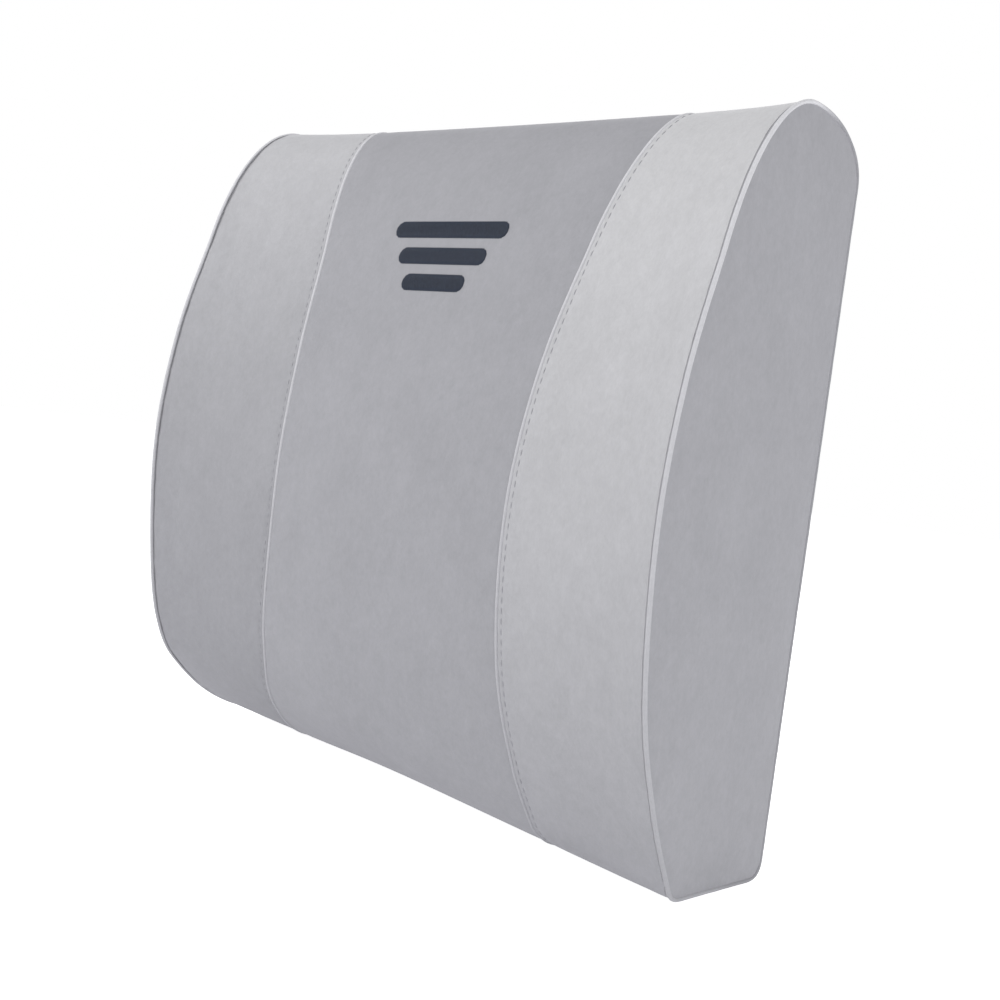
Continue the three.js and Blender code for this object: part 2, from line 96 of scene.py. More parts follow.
SLOT_HALF = TAPE_HIGH[0]  # half length of the slot in the back that shows the zip

# ---- body shape
DEPTH = 114
CREST_DEPTH = 42  # how far the highest line lies in front of the back face
HEEL_ROUND = 9
BROW_DEPTH = 60  # half axes of the ellipse that rounds the front over into the crest
BROW_HEIGHT = 129
BROW_START = 0.48  # radians above its horizontal axis
BROW_CORNER = 1.0  # where an end panel's front side gives way to its top side
HOLLOW_BASE = 0.055  # share of the depth scooped out of the middle at the base
HOLLOW_CREST = 0.184  # the same share at the crest
HOLLOW_POWER = 5.2  # how late the scooped front flares forward again towards the ends
BASE_DEPTH = 58
BASE_SKEW = 9  # the cover pulls the base forward at the right end and back at the left
TOE_LEFT = 40  # the toe is well rounded at the left end and nearly sharp at the right
TOE_RIGHT = 4
LEFT_LIFT = 3  # how far the soft bottom corner at the left end rises off the ground
LIFT_HEIGHT = 60  # the lift has died out at this height
LEFT_FLARE = 15  # the left seam swings outwards as it turns under the rounded toe
FLARE_HEIGHT = 32
SEAM_BASE = 89.4  # from the middle to either front seam at the base
SEAM_PINCH = 63  # the seams draw together over the belly
SEAM_SPREAD = 72  # and part again towards the crest

PIPING_RADIUS = 1.2
CORD_RADIUS = 0.95
CORD_SINK = 0.62  # the sewn cord is pulled this far into the cloth
PLAIN_ROOM = 0.12  # from a seam without piping to the edge of its panel
SEAM_ROOM = PIPING_RADIUS - 0.4  # a panel ends just under the side of its piping
SIDE = WIDTH / 2 - PIPING_RADIUS
END_CROWN = 3.2  # how far the foam pushes each end panel out at its middle
CLOTH = 1.1
CURVE_STEPS = 16
STATIONS = 83  # outlines worked out across the body

ACROSS_ROWS = 18  # grid rows along the base, and again over the crest
UP_ROWS = 60  # grid rows up the front, and again down the back
WING_COLUMNS = 16  # grid columns across each wing
CENTRE_COLUMNS = 32
ROW = 5.0  # nearly every row and column of the grid is this wide

RING = 2 * (ACROSS_ROWS + UP_ROWS)
TOE_ROW = ACROSS_ROWS
BROW_ROW = TOE_ROW + UP_ROWS
TOP_ROW = BROW_ROW + ACROSS_ROWS
COLUMNS = 2 * WING_COLUMNS + CENTRE_COLUMNS + 1
LEFT_SEAM = WING_COLUMNS
RIGHT_SEAM = WING_COLUMNS + CENTRE_COLUMNS


def smoothstep(t):
    t = np.clip(t, 0, 1)
    return t * t * (3 - 2 * t)


def quadratic(a, b, c):
    t = np.linspace(0, 1, CURVE_STEPS + 1)[:, None]
    return (1 - t) ** 2 * np.array(a) + 2 * t * (1 - t) * np.array(b) + t * t * np.array(c)


def spline(before, points):
    """A Catmull-Rom curve through the points, that sets off as if it came from the point before."""
    points = np.array([before, *points], float)
    return resample(points, np.linspace(1, len(points) - 1, CURVE_STEPS * (len(points) - 2) + 1))


def arc(centre, axes, start, end):
    t = np.linspace(start, end, CURVE_STEPS + 1)[:, None]
    return np.array(centre) + np.array(axes) * np.concatenate([np.cos(t), np.sin(t)], 1)


def resample(values, positions):
    """Rows of values at fractional row numbers, by Catmull-Rom interpolation along the first axis."""
    positions = np.asarray(positions, float)
    last = len(values) - 1
    base = np.clip(np.floor(positions).astype(int), 0, last - 1)
    shape = positions.shape + (1,) * (values.ndim - 1)
    t = (positions - base).reshape(shape)
    before, a, b, after = (values[np.clip(base + k, 0, last)] for k in (-1, 0, 1, 2))
    slope_a = (b - before) / 2
    slope_b = (after - a) / 2
    curve = (2 * a - 2 * b + slope_a + slope_b) * t ** 3 + (3 * b - 3 * a - 2 * slope_a - slope_b) * t * t
    return curve + slope_a * t + a


def distances(line):
    """How far along the line each of its points lies."""
    gaps = np.linalg.norm(np.diff(line, axis=0), axis=1)
    return np.concatenate([[0], np.cumsum(gaps)])


def even_steps(line, count):
    """The line's points at count + 1 evenly spaced distances along it."""
    along = distances(line)
    wanted = np.linspace(0, along[-1], count + 1)
    return np.stack([np.interp(wanted, along, line[:, i]) for i in range(line.shape[1])], 1)


def outline(x):
    """The body's closed outline at one x as (depth before the back face, height) for each grid row."""
    lean = x / SIDE
    base = BASE_DEPTH + BASE_SKEW * lean
    toe = TOE_LEFT + (TOE_RIGHT - TOE_LEFT) * smoothstep((lean + 0.37) / 1.37)
    tip = (base + 0.737 * toe, 0.688 * toe)
    roundness = smoothstep((toe - 12) / 28)
    brow = (CREST_DEPTH, HEIGHT - BROW_HEIGHT)
    heel_curve = quadratic((0, HEEL_ROUND), (0, 0), (HEEL_ROUND, 0))
    toe_curve = quadratic((base - toe, 0), (base, 0), tip)
    before_tip = toe_curve[int(0.7 * CURVE_STEPS)]
    belly = spline(before_tip, [
        tip,
        ((0.785 + 0.045 * roundness) * DEPTH, 38 + 9 * roundness),
        (0.933 * DEPTH, 84),
        (DEPTH, 151),
        (0.953 * DEPTH, 210),
        (brow[0] + BROW_DEPTH * math.cos(BROW_START), brow[1] + BROW_HEIGHT * math.sin(BROW_START)),
    ])
    brow_low = arc(brow, (BROW_DEPTH, BROW_HEIGHT), BROW_START, BROW_CORNER)
    brow_high = arc(brow, (BROW_DEPTH, BROW_HEIGHT), BROW_CORNER, math.pi / 2)
    crest = arc((CREST_DEPTH, BACK_TOP), (CREST_DEPTH, HEIGHT - BACK_TOP), math.pi / 2, math.pi)
    back = np.array([(0, BACK_TOP), (0, HEEL_ROUND)])
    sides = [
        even_steps(np.concatenate([heel_curve, toe_curve]), ACROSS_ROWS),
        even_steps(np.concatenate([belly, brow_low]), UP_ROWS),
        even_steps(np.concatenate([brow_high, crest]), ACROSS_ROWS),
        even_steps(back, UP_ROWS),
    ]
    ring = np.concatenate([side[:-1] for side in sides])
    lift = LEFT_LIFT * np.clip((-lean - 0.35) / 0.65, 0, 1) ** 2
    ring[:, 1] += lift * np.clip(1 - ring[:, 1] / LIFT_HEIGHT, 0, 1)
    return ring


def scoop(x, z):
    """The front is scooped across its width, so the wings stand further forward than the middle."""
    share = HOLLOW_BASE + (HOLLOW_CREST - HOLLOW_BASE) * z / HEIGHT
    return 1 - share * (1 - np.abs(2 * x / WIDTH) ** HOLLOW_POWER)


def seam_half(z, side=1):
    """Distance from the middle to the front seam on one side (-1 or 1), at height z."""
    t = z / HEIGHT
    flare = LEFT_FLARE * np.clip(1 - z / FLARE_HEIGHT, 0, 1) ** 2
    return SEAM_BASE - SEAM_PINCH * t + SEAM_SPREAD * t * t + np.where(np.asarray(side) < 0, flare, 0)


def column_shares():
    """Each column's x is side * SIDE + seam * seam_half(z)."""
    wing = np.linspace(0, 1, WING_COLUMNS + 1)
    centre = np.linspace(-1, 1, CENTRE_COLUMNS + 1)
    side = np.concatenate([wing - 1, 0 * centre[1:-1], wing])
    seam = np.concatenate([-wing, centre[1:-1], 1 - wing])
    return side, seam


def body_grid():
    """Points of the whole wrapped body, indexed by row round the ring and by column across it."""
    stations = np.linspace(-SIDE, SIDE, STATIONS)
    outlines = np.stack([outline(x) for x in stations], 1)
    side, seam = column_shares()
    grid = np.zeros((RING, COLUMNS, 3))
    for row in range(RING):
        x = side * SIDE + seam * seam_half(outlines[row, STATIONS // 2, 1], seam)
        for _ in range(3):
            z = np.interp(x, stations, outlines[row, :, 1])
            x = side * SIDE + seam * seam_half(z, seam)
        depth = np.interp(x, stations, outlines[row, :, 0])
        grid[row] = np.stack([x, BACK - depth * scoop(x, z), z], 1)
    return grid


# ---- end panels
def ring_row(v, u):
    """Row of the ring that a border point of an end panel's patch shares, or None inside the patch."""
    if v == 0:
        return u
    if u == ACROSS_ROWS:
        return TOE_ROW + v
    if v == UP_ROWS:
        return BROW_ROW + ACROSS_ROWS - u
    if u == 0:
        return (TOP_ROW + UP_ROWS - v) % RING
    return None


def end_patch(ring, sign):
    """A four-sided patch that fills an end outline, crowned outwards."""
    v = np.linspace(0, 1, UP_ROWS + 1)[:, None, None]
    u = np.linspace(0, 1, ACROSS_ROWS + 1)[None, :, None]
    bottom = ring[[ring_row(0, i) for i in range(ACROSS_ROWS + 1)]][None]
    top = ring[[ring_row(UP_ROWS, i) for i in range(ACROSS_ROWS + 1)]][None]
    rear = ring[[ring_row(i, 0) for i in range(UP_ROWS + 1)]][:, None]
    front = ring[[ring_row(i, ACROSS_ROWS) for i in range(UP_ROWS + 1)]][:, None]
    ruled = (1 - v) * bottom + v * top + (1 - u) * rear + u * front
    corners = (1 - v) * ((1 - u) * bottom[:, :1] + u * bottom[:, -1:])
    corners = corners + v * ((1 - u) * top[:, :1] + u * top[:, -1:])
    patch = ruled - corners
    patch[..., 0] += sign * END_CROWN * (16 * u * (1 - u) * v * (1 - v))[..., 0] ** 0.6
    return patch


# ---- meshes
def stand(name, data):
    """An object in the scene for a mesh, a light or a camera."""
    obj = bpy.data.objects.new(name, data)
    bpy.context.scene.collection.objects.link(obj)
    return obj


def make_object(name, points, faces, body="cushion"):
    """A mesh object from points in millimetres, riding on a CAD body."""
    mesh = bpy.data.meshes.new(name)
    mesh.from_pydata((np.asarray(points, float) * MM).tolist(), [], [list(map(int, f)) for f in faces])
    mesh.validate()
    mesh.polygons.foreach_set("use_smooth", [True] * len(mesh.polygons))
    mesh.update()
    obj = stand(name, mesh)
    if body:
        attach(obj, body)
    return obj


def facing_out(points, faces):
    """The same faces, turned so that the closed mesh has a positive volume."""
    volume = 0
    for f in faces:
        a = points[f[0]]
        for i in range(1, len(f) - 1):
            volume += np.dot(a, np.cross(points[f[i]], points[f[i + 1]]))
    return faces if volume > 0 else [f[::-1] for f in faces]


def grid_faces(rows, columns):
    starts = [r * columns + c for r in range(rows - 1) for c in range(columns - 1)]
    return [(a, a + 1, a + columns + 1, a + columns) for a in starts]


def sheet_mesh(outer, inner):
    """A closed sheet from two grids of points, one on each side of the cloth."""
    rows, columns = outer.shape[:2]
    half = rows * columns
    points = np.concatenate([outer.reshape(-1, 3), inner.reshape(-1, 3)])
    faces = grid_faces(rows, columns)
    faces += [tuple(half + i for i in reversed(f)) for f in grid_faces(rows, columns)]
    number = np.arange(half).reshape(rows, columns)
    border = [*number[0], *number[1:, -1], *number[-1, -2::-1], *number[-2:0:-1, 0]]
    for a, b in zip(border, border[1:] + border[:1]):
        faces.append((b, a, a + half, b + half))
    return points, facing_out(points, faces)


def normals(grid):
    """Unit normals of a grid of points, away from the middle of the body."""
    across = np.gradient(grid, axis=1)
    along = np.gradient(grid, axis=0)
    normal = np.cross(along, across)
    normal /= np.maximum(np.linalg.norm(normal, axis=2, keepdims=True), 1e-9)
    outward = grid - np.array([0, BACK - DEPTH / 2, HEIGHT / 2])
    return normal if (normal * outward).sum() > 0 else -normal


def vertex_normals(points, faces):
    mesh = bpy.data.meshes.new("normals")
    mesh.from_pydata(points.tolist(), [], faces)
    result = np.array([v.normal for v in mesh.vertices])
    bpy.data.meshes.remove(mesh)
    return result


def sweep(name, path, ring, side=(1, 0, 0), closed=False, body="cushion"):
    """A closed tube: ring(i) gives the (sideways, outward) corners at each point of the path.

    Its "run" attribute holds the distance along the path and the place across it, in metres.
    """
    path = np.asarray(path, float)
    count = len(path)
    before = np.roll(path, 1, 0)
    after = np.roll(path, -1, 0)
    if not closed:
        before[0] = path[0]
        after[-1] = path[-1]
    along = after - before
    along /= np.linalg.norm(along, axis=1, keepdims=True)
    side = np.broadcast_to(np.array(side, float), path.shape)
    out = np.cross(along, side)
    out /= np.linalg.norm(out, axis=1, keepdims=True)
    across = np.cross(out, along)
    corners = [np.asarray(ring(i), float) for i in range(count)]
    size = len(corners[0])
    points = [path[i] + c[0] * across[i] + c[1] * out[i] for i in range(count) for c in corners[i]]
    faces = []
    for i in range(count if closed else count - 1):
        for j in range(size):
            a, b = i * size + j, i * size + (j + 1) % size
            c, d = (i + 1) % count * size + j, (i + 1) % count * size + (j + 1) % size
            faces.append((a, b, d, c))
    if not closed:
        faces.append(tuple(range(size))[::-1])
        faces.append(tuple((count - 1) * size + j for j in range(size)))
    points = np.array(points)
    obj = make_object(name, points, facing_out(points, faces), body)
    distance = distances(path)
    run = [(distance[i], c[1], c[0]) for i in range(count) for c in corners[i]]
    attribute = obj.data.attributes.new("run", "FLOAT_VECTOR", "POINT")
    attribute.data.foreach_set("vector", (np.array(run, np.float32) * MM).ravel())
    return obj


def circle(radius, corners=10):
    turns = np.arange(corners) * 2 * math.pi / corners
    return np.stack([radius * np.cos(turns), radius * np.sin(turns)], 1)


# ---- cloth simulation
PRESSURE = 4
CLOTH_FRAMES = 20
SWELL_LIMIT = 2.2  # how far the stuffed cover may swell beyond the shape it is sewn to
BACK_SWELL_LIMIT = 1.0
STRAP_MARGIN = 20  # the strap and the buckle press the back flat this far from the strap's middle
ZIP_MARGIN = 14


def cover_mesh(grid, patches):
    """Points and faces of the whole closed cover, and the point number of each patch point."""
    points = [grid.reshape(-1, 3)]
    total = RING * COLUMNS
    faces = []
    for r in range(RING):
        following = (r + 1) % RING
        for c in range(COLUMNS - 1):
            faces.append((r * COLUMNS + c, r * COLUMNS + c + 1,
                          following * COLUMNS + c + 1, following * COLUMNS + c))
    numbers = []
    for column, patch in zip((0, COLUMNS - 1), patches):
        number = np.zeros(patch.shape[:2], int)
        inside = []
        for v in range(UP_ROWS + 1):
            for u in range(ACROSS_ROWS + 1):
                row = ring_row(v, u)
                if row is None:
                    number[v, u] = total + len(inside)
                    inside.append(patch[v, u])
                else:
                    number[v, u] = row * COLUMNS + column
        total += len(inside)
        points.append(np.array(inside))
        numbers.append(number)
        for v in range(UP_ROWS):
            for u in range(ACROSS_ROWS):
                quad = (number[v, u], number[v, u + 1], number[v + 1, u + 1], number[v + 1, u])
                faces.append(quad if column == 0 else quad[::-1])
    points = np.concatenate(points)
    return points, facing_out(points, faces), numbers


def pinned_points(points):
    """Which points stay where they are sewn or pressed flat: seams, base, zip and strap."""
    row, column = np.divmod(np.arange(len(points)), COLUMNS)
    on_grid = row < RING
    on_wrap = on_grid & (row <= TOP_ROW)
    on_back = on_grid & ((row >= TOP_ROW) | (row == 0))
    seams = on_grid & ((column == 0) | (column == COLUMNS - 1))
    seams |= on_wrap & ((column == LEFT_SEAM) | (column == RIGHT_SEAM))
    seams |= on_grid & ((row == 0) | (row == TOP_ROW))
    strap = on_back & (np.abs(points[:, 2] - STRAP_HEIGHT) < STRAP_MARGIN)
    zip_zone = on_back & (np.abs(points[:, 2] - ZIP_MIDDLE) < ZIP_MARGIN)
    base = on_wrap & (points[:, 2] < LEFT_LIFT + 0.3) & (row < TOE_ROW)
    return seams | strap | zip_zone | base, on_back


def inflate(points, faces, pinned):
    """Blows the cover up with Blender's cloth solver and returns the points where they settle."""
    cloth = make_object("cover_cloth", points, faces, body=None)
    pins = cloth.vertex_groups.new(name="pins")
    pins.add(np.nonzero(pinned)[0].tolist(), 1.0, "REPLACE")
    modifier = cloth.modifiers.new("Cloth", "CLOTH")
    settings = modifier.settings
    settings.quality = 6
    settings.mass = 0.2
    settings.tension_stiffness = 20
    settings.compression_stiffness = 20
    settings.shear_stiffness = 8
    settings.bending_stiffness = 0.6
    settings.use_pressure = True
    settings.uniform_pressure_force = PRESSURE
    settings.vertex_group_mass = "pins"
    settings.effector_weights.gravity = 0
    modifier.point_cache.frame_start = 1
    modifier.point_cache.frame_end = CLOTH_FRAMES
    for number in range(1, CLOTH_FRAMES + 1):
        bpy.context.scene.frame_set(number)
    settled = cloth.evaluated_get(bpy.context.evaluated_depsgraph_get()).to_mesh()
    result = np.zeros(len(points) * 3, np.float32)
    settled.vertices.foreach_get("co", result)
    bpy.data.objects.remove(cloth)
    bpy.context.scene.frame_set(1)
    return result.reshape(-1, 3).astype(float) / MM


def swollen(points, faces):
    """The cover's points after the simulation, with the swelling capped."""
    pinned, on_back = pinned_points(points)
    moved = inflate(points, faces, pinned) - points
    limit = np.where(on_back, BACK_SWELL_LIMIT, SWELL_LIMIT)
    length = np.maximum(np.linalg.norm(moved, axis=1), 1e-9)
    eased = limit * np.tanh(length / limit)
    return points + moved * (eased / length)[:, None]


# ---- sewn panels
ROLL = 0.75  # radius of the rolled edge beside a seam
STITCH_OFFSET = 3.4  # from a front seam to the row of stitches on the wing
STITCH_DIMPLE = 0.22
PUCKER = 0.10
EDGE_STEPS = SEAM_ROOM + np.array([0, 0.08, 0.22, 0.45, 0.75, 1.15, 1.7, 2.05, 2.4, 3.1, 4.4])


def panel_steps(length, inner_count, room=SEAM_ROOM):
    """Distances from one seam at which a panel has points: close together beside both seams."""
    near = EDGE_STEPS - SEAM_ROOM + room
    far = near[-1]
    length = np.asarray(length, float)[..., None]
    middle = far + (length - 2 * far) * np.linspace(0, 1, inner_count + 2)[1:-1]
    start = np.broadcast_to(near, length.shape[:-1] + near.shape)
    return np.concatenate([start, middle, length - start[..., ::-1]], -1)


def rolled(distance, radius=ROLL):
    """How far the cloth has sunk at a distance from the edge of its panel."""
    t = np.clip(distance / radius, 0, 1)
    quarter_turn = radius * (1 - np.sqrt(1 - (1 - t) ** 2))
    return quarter_turn + 0.25 * np.exp(-np.maximum(distance, 0) / 5)


def sewn_sheet(name, grid, stitched=(), end_room=SEAM_ROOM, outward=None):
    """A closed cloth panel over a coarse grid whose four borders are seams.

    It returns the piece and the points of its outer side. An end panel's corners lie on a smooth
    border, where a grid has no good normals, so its outward direction is given.
    """
    rows, columns = grid.shape[:2]
    ends = panel_steps((rows - 1) * ROW, 2 * (rows - 1) - 2, end_room)
    tall = resample(grid, ends / ROW)
    widths = np.linalg.norm(np.diff(tall, axis=1), axis=2).sum(1)
    steps = panel_steps(widths, int(2.2 * (columns - 1)))
    fine = np.stack([resample(tall[i], steps[i] / widths[i] * (columns - 1)) for i in range(len(tall))])
    from_side = np.minimum(steps, widths[:, None] - steps)
    from_end = np.minimum(ends, ends[::-1])[:, None]
    nearest = np.minimum(from_side - SEAM_ROOM, from_end - end_room)
    sink = rolled(nearest)
    for edge in stitched:
        distance = steps if edge == "first" else widths[:, None] - steps
        sink += STITCH_DIMPLE * np.exp(-((distance - STITCH_OFFSET) / 0.55) ** 2)
    sink += pucker(fine, nearest)
    normal = normals(fine) if outward is None else np.broadcast_to(outward, fine.shape)
    outer = fine - normal * sink[..., None]
    inner = outer - (normals(outer) if outward is None else normal) * CLOTH
    points, faces = sheet_mesh(outer, inner)
    return make_object(name, points, faces), outer


def pucker(points, distance):
    """Shallow ripples that fade away from a seam, where the thread gathers the cloth."""
    phase = points[..., 2] * 0.62 + points[..., 0] * 0.55 + np.sin(points[..., 2] * 0.093) * 2.1
    ripple = np.sin(phase) * np.sin(phase * 0.37 + 1.3)
    return PUCKER * ripple * np.exp(-np.maximum(distance - 1, 0) / 6)


# ---- materials
def linear(code):
    """Linear RGBA of an sRGB colour written as 0xRRGGBB."""
    parts = [(code >> shift & 255) / 255 for shift in (16, 8, 0)]
    return [p / 12.92 if p <= 0.04045 else ((p + 0.055) / 1.055) ** 2.4 for p in parts] + [1.0]


class Shader:
    """A material's node tree, with short names for the nodes that the finishes share."""

    def __init__(self, name, attribute=None):
        self.material = bpy.data.materials.new(name)
        self.material.use_nodes = True
        self.nodes = self.material.node_tree.nodes
        self.links = self.material.node_tree.links
        self.surface = self.nodes["Principled BSDF"]
        self.place = self.nodes.new("ShaderNodeTexCoord").outputs["Object"]
        if attribute:
            run = self.nodes.new("ShaderNodeAttribute")
            run.attribute_name = attribute
            self.place = run.outputs["Vector"]

    def set(self, **values):
        for key, value in values.items():
            self.plug(self.surface.inputs[key.replace("_", " ")], value)

    def tint(self, colour, change, **values):
        """Sets the base colour, paler or darker by change, and any other inputs."""
        self.set(Base_Color=self.brightened(colour, change), **values)

    def velvety(self, colour, change, **values):
        """Sets a brushed cloth's dull surface and soft sheen as well."""
        self.tint(colour, change, Roughness=0.92, Specular_IOR_Level=0.2)
        self.set(Sheen_Weight=0.25, Sheen_Roughness=0.45, **values)

    def plug(self, socket, value):
        if isinstance(value, bpy.types.NodeSocket):
            self.links.new(value, socket)
        else:
            socket.default_value = value

    def math(self, operation, a, b=0.0, c=0.0):
        made = self.nodes.new("ShaderNodeMath")
        made.operation = operation
        for socket, value in zip(made.inputs, (a, b, c)):
            self.plug(socket, value)
        return made.outputs[0]

    def stretched(self, scale):
        made = self.nodes.new("ShaderNodeMapping")
        made.inputs["Scale"].default_value = scale
        self.links.new(self.place, made.inputs["Vector"])
        return made.outputs[0]

    def noise(self, size, detail=2.0, roughness=0.5, stretch=(1, 1, 1)):
        """Noise around 0.5 whose features are about size millimetres wide."""
        made = self.nodes.new("ShaderNodeTexNoise")
        made.inputs["Scale"].default_value = 1 / (size * MM)
        made.inputs["Detail"].default_value = detail
        made.inputs["Roughness"].default_value = roughness
        self.links.new(self.stretched(stretch), made.inputs["Vector"])
        return made.outputs["Fac"]

    def centred(self, pattern):
        return self.math("SUBTRACT", pattern, 0.5)

    def speckle(self, *args):
        """The same noise, around zero."""
        return self.centred(self.noise(*args))

    def total(self, *terms):
        """The sum of socket times amount over the terms."""
        result = self.math("MULTIPLY", *terms[0])
        for socket, amount in terms[1:]:
            result = self.math("MULTIPLY_ADD", socket, amount, result)
        return result

    def axis(self, name):
        made = self.nodes.new("ShaderNodeSeparateXYZ")
        self.links.new(self.place, made.inputs[0])
        return made.outputs[name]

    def wave(self, name, pitch):
        """A sine wave along one axis, from 0 to 1, that repeats every pitch millimetres."""
        turn = self.math("MULTIPLY", self.axis(name), 2 * math.pi / (pitch * MM))
        return self.math("MULTIPLY_ADD", self.math("SINE", turn), 0.5, 0.5)

    def mix(self, share, a, b, kind="MIX"):
        made = self.nodes.new("ShaderNodeMix")
        made.data_type = "RGBA"
        made.blend_type = kind
        for key, value in (("Factor", share), ("A", a), ("B", b)):
            socket = next(s for s in made.inputs if s.name == key and s.enabled)
            self.plug(socket, value)
        return next(s for s in made.outputs if s.enabled)

    def brightened(self, colour, amount):
        """The colour, a socket or a code, times 1 + amount, where amount is a socket round zero."""
        made = self.nodes.new("ShaderNodeVectorMath")
        made.operation = "SCALE"
        self.plug(made.inputs[0], linear(colour)[:3] if isinstance(colour, int) else colour)
        self.plug(made.inputs["Scale"], self.math("ADD", amount, 1.0))
        return made.outputs[0]

    def bump(self, height, depth, strength=1.0):
        """Adds a bump whose height socket spans depth millimetres, and returns the finished material."""
        made = self.nodes.new("ShaderNodeBump")
        made.inputs["Distance"].default_value = depth * MM
        made.inputs["Strength"].default_value = strength
        self.links.new(height, made.inputs["Height"])
        self.links.new(made.outputs[0], self.surface.inputs["Normal"])
        return self.material


def velour(name, colour, colour_below_painted_sheen=None, power=1.0):
    """Brushed pile: cloudy patches, fine mottling along the nap and a soft sheen at the edges.

    Given a second, lower colour, the cloth is painted paler towards the top: a painted sheen and light
    from above, fading down to the lower colour at the base.
    """
    s = Shader(name)
    base = colour
    # Painted sheen: paler at the top and darker at the base, standing in for sheen and light from above.
    if colour_below_painted_sheen is not None:
        painted_sheen_ramp = s.nodes.new("ShaderNodeMapRange")
        s.plug(painted_sheen_ramp.inputs["Value"], s.math("DIVIDE", s.axis("Z"), HEIGHT * MM))
        base = s.mix(s.math("POWER", painted_sheen_ramp.outputs[0], power), linear(colour_below_painted_sheen), linear(colour))
    clouds = s.speckle(34, 4.0, 0.6, (1, 1, 0.7))
    patches = s.speckle(9, 3.0, 0.6, (1, 1, 0.8))
    mottle = s.speckle(3.2, 3.0, 0.65, (1, 1, 0.75))
    grain = s.speckle(0.9, 2.0, 0.6, (1, 1, 0.5))
    change = s.total((clouds, 0.15), (patches, 0.10), (mottle, 0.17), (grain, 0.14))
    s.velvety(base, change, Sheen_Tint=linear(0xE9E8EE))
    pile = s.math("ADD", s.noise(0.55, 2.0, 0.6, (1, 1, 0.4)), s.math("MULTIPLY", mottle, 0.8))
    return s.bump(pile, 0.12, 0.6)


def piping_cloth():
    """Bias strip round the piping: paler than the panels, but grey where it edges the back."""
    s = Shader("piping")
    # Painted sheen: the front of the strip is painted paler towards the top, as on the wings.
    painted_sheen_rise = s.math("DIVIDE", s.axis("Z"), HEIGHT * MM)
    front = s.mix(painted_sheen_rise, linear(0xB4B4B9), linear(0xE0E0E4))
    towards_back = s.nodes.new("ShaderNodeMapRange")
    towards_back.inputs["From Min"].default_value = (BACK - CREST_DEPTH) * MM
    towards_back.inputs["From Max"].default_value = (BACK - CREST_DEPTH / 2) * MM
    s.plug(towards_back.inputs["Value"], s.axis("Y"))
    base = s.mix(towards_back.outputs[0], front, linear(0xA2A2A7))
    s.velvety(base, s.total((s.speckle(1.6, 3.0, 0.6), 0.22)))
    return s.bump(s.noise(0.5, 2.0), 0.1, 0.6)


def knitted_back():
    """Flat knit: small staggered loops in columns."""
    s = Shader("back_cloth")
    loops = s.math("MULTIPLY", s.wave("X", 1.1), s.wave("Z", 0.8))
    # Painted light and shade: paler on the crowns of the loops and darker between them.
    painted_loop_light = s.math("SUBTRACT", loops, 0.25)
    change = s.total((s.speckle(40, 3.0), 0.10), (s.speckle(3.5, 3.0), 0.10), (painted_loop_light, 0.16))
    s.tint(0x8E8D93, change, Roughness=0.93, Specular_IOR_Level=0.2)
    s.set(Sheen_Weight=0.15, Sheen_Roughness=0.5)
    return s.bump(loops, 0.12, 0.7)


def plain_thread(name, colour):
    """Twisted polyester sewing thread."""
    s = Shader(name)
    twist = s.noise(0.5, 1.0, 0.4)
    change = s.total((s.centred(twist), 0.35))
    s.tint(colour, change, Roughness=0.6, Sheen_Weight=0.2)
    return s.bump(twist, 0.08, 0.6)


def satin_thread():
    """Dark embroidery thread, its fibres drawn out upwards."""
    s = Shader("emblem_thread")
    fibre = s.noise(0.35, 2.0, 0.5, (1, 1, 0.08))
    change = s.total((s.centred(fibre), 1.1))
    s.tint(0x2B3343, change, Roughness=0.5)
    s.set(Specular_IOR_Level=0.35, Anisotropic=0.4)
    return s.bump(fibre, 0.05, 0.5)


def woven(name, colour, warp, weft, depth=0.18, attribute=None):
    """Plain weave: warp and weft threads that pass over each other in turn."""
    s = Shader(name, attribute)
    along, across = s.wave("X", weft), s.wave("Z", warp)
    over = s.math("MULTIPLY", along, across)
    under = s.math("MULTIPLY", s.math("SUBTRACT", 1.0, along), s.math("SUBTRACT", 1.0, across))
    height = s.math("MAXIMUM", over, under)
    # Painted light and shade: paler on the raised threads and darker where they dip between each other.
    painted_weave_shading = s.centred(height)
    change = s.total((s.speckle(0.4), 0.25), (painted_weave_shading, 0.5), (s.speckle(18, 3.0), 0.16))
    s.tint(colour, change, Roughness=0.78, Sheen_Weight=0.2)
    return s.bump(height, depth, 0.8)


def elastic():
    """Knitted elastic: rubber cords along its length, crossed by fine threads."""
    s = Shader("elastic", "run")
    cords = s.wave("Z", 1.9)
    cross = s.wave("X", 0.6)
    height = s.total((cross, 0.25), (cords, 0.75))
    # Painted light and shade: paler on the raised cords and darker in the grooves between them.
    change = s.total((s.speckle(0.4), 0.25), (s.centred(height), 0.55))
    s.tint(0x54545A, change, Roughness=0.75, Sheen_Weight=0.15)
    return s.bump(height, 0.25, 0.8)


def moulded():
    """Acetal: fine spark-eroded texture, a little shinier where it is rubbed."""
    s = Shader("buckle")
    spark = s.noise(0.28, 2.0, 0.6)
    rub = s.noise(7, 3.0)
    change = s.total((s.centred(rub), 0.25))
    roughness = s.math("MULTIPLY_ADD", rub, 0.22, 0.33)
    s.tint(0x3A3A3E, change, Roughness=roughness, Specular_IOR_Level=0.5)
    return s.bump(spark, 0.03, 0.5)


def nylon():
    """Drawn nylon wire, satin and almost even in colour."""
    s = Shader("zip_coil")
    tint = s.total((s.speckle(2.5), 0.2))
    s.tint(0x96959B, tint, Roughness=0.38, Specular_IOR_Level=0.5)
    return s.bump(s.noise(0.3, 2.0), 0.02, 0.4)


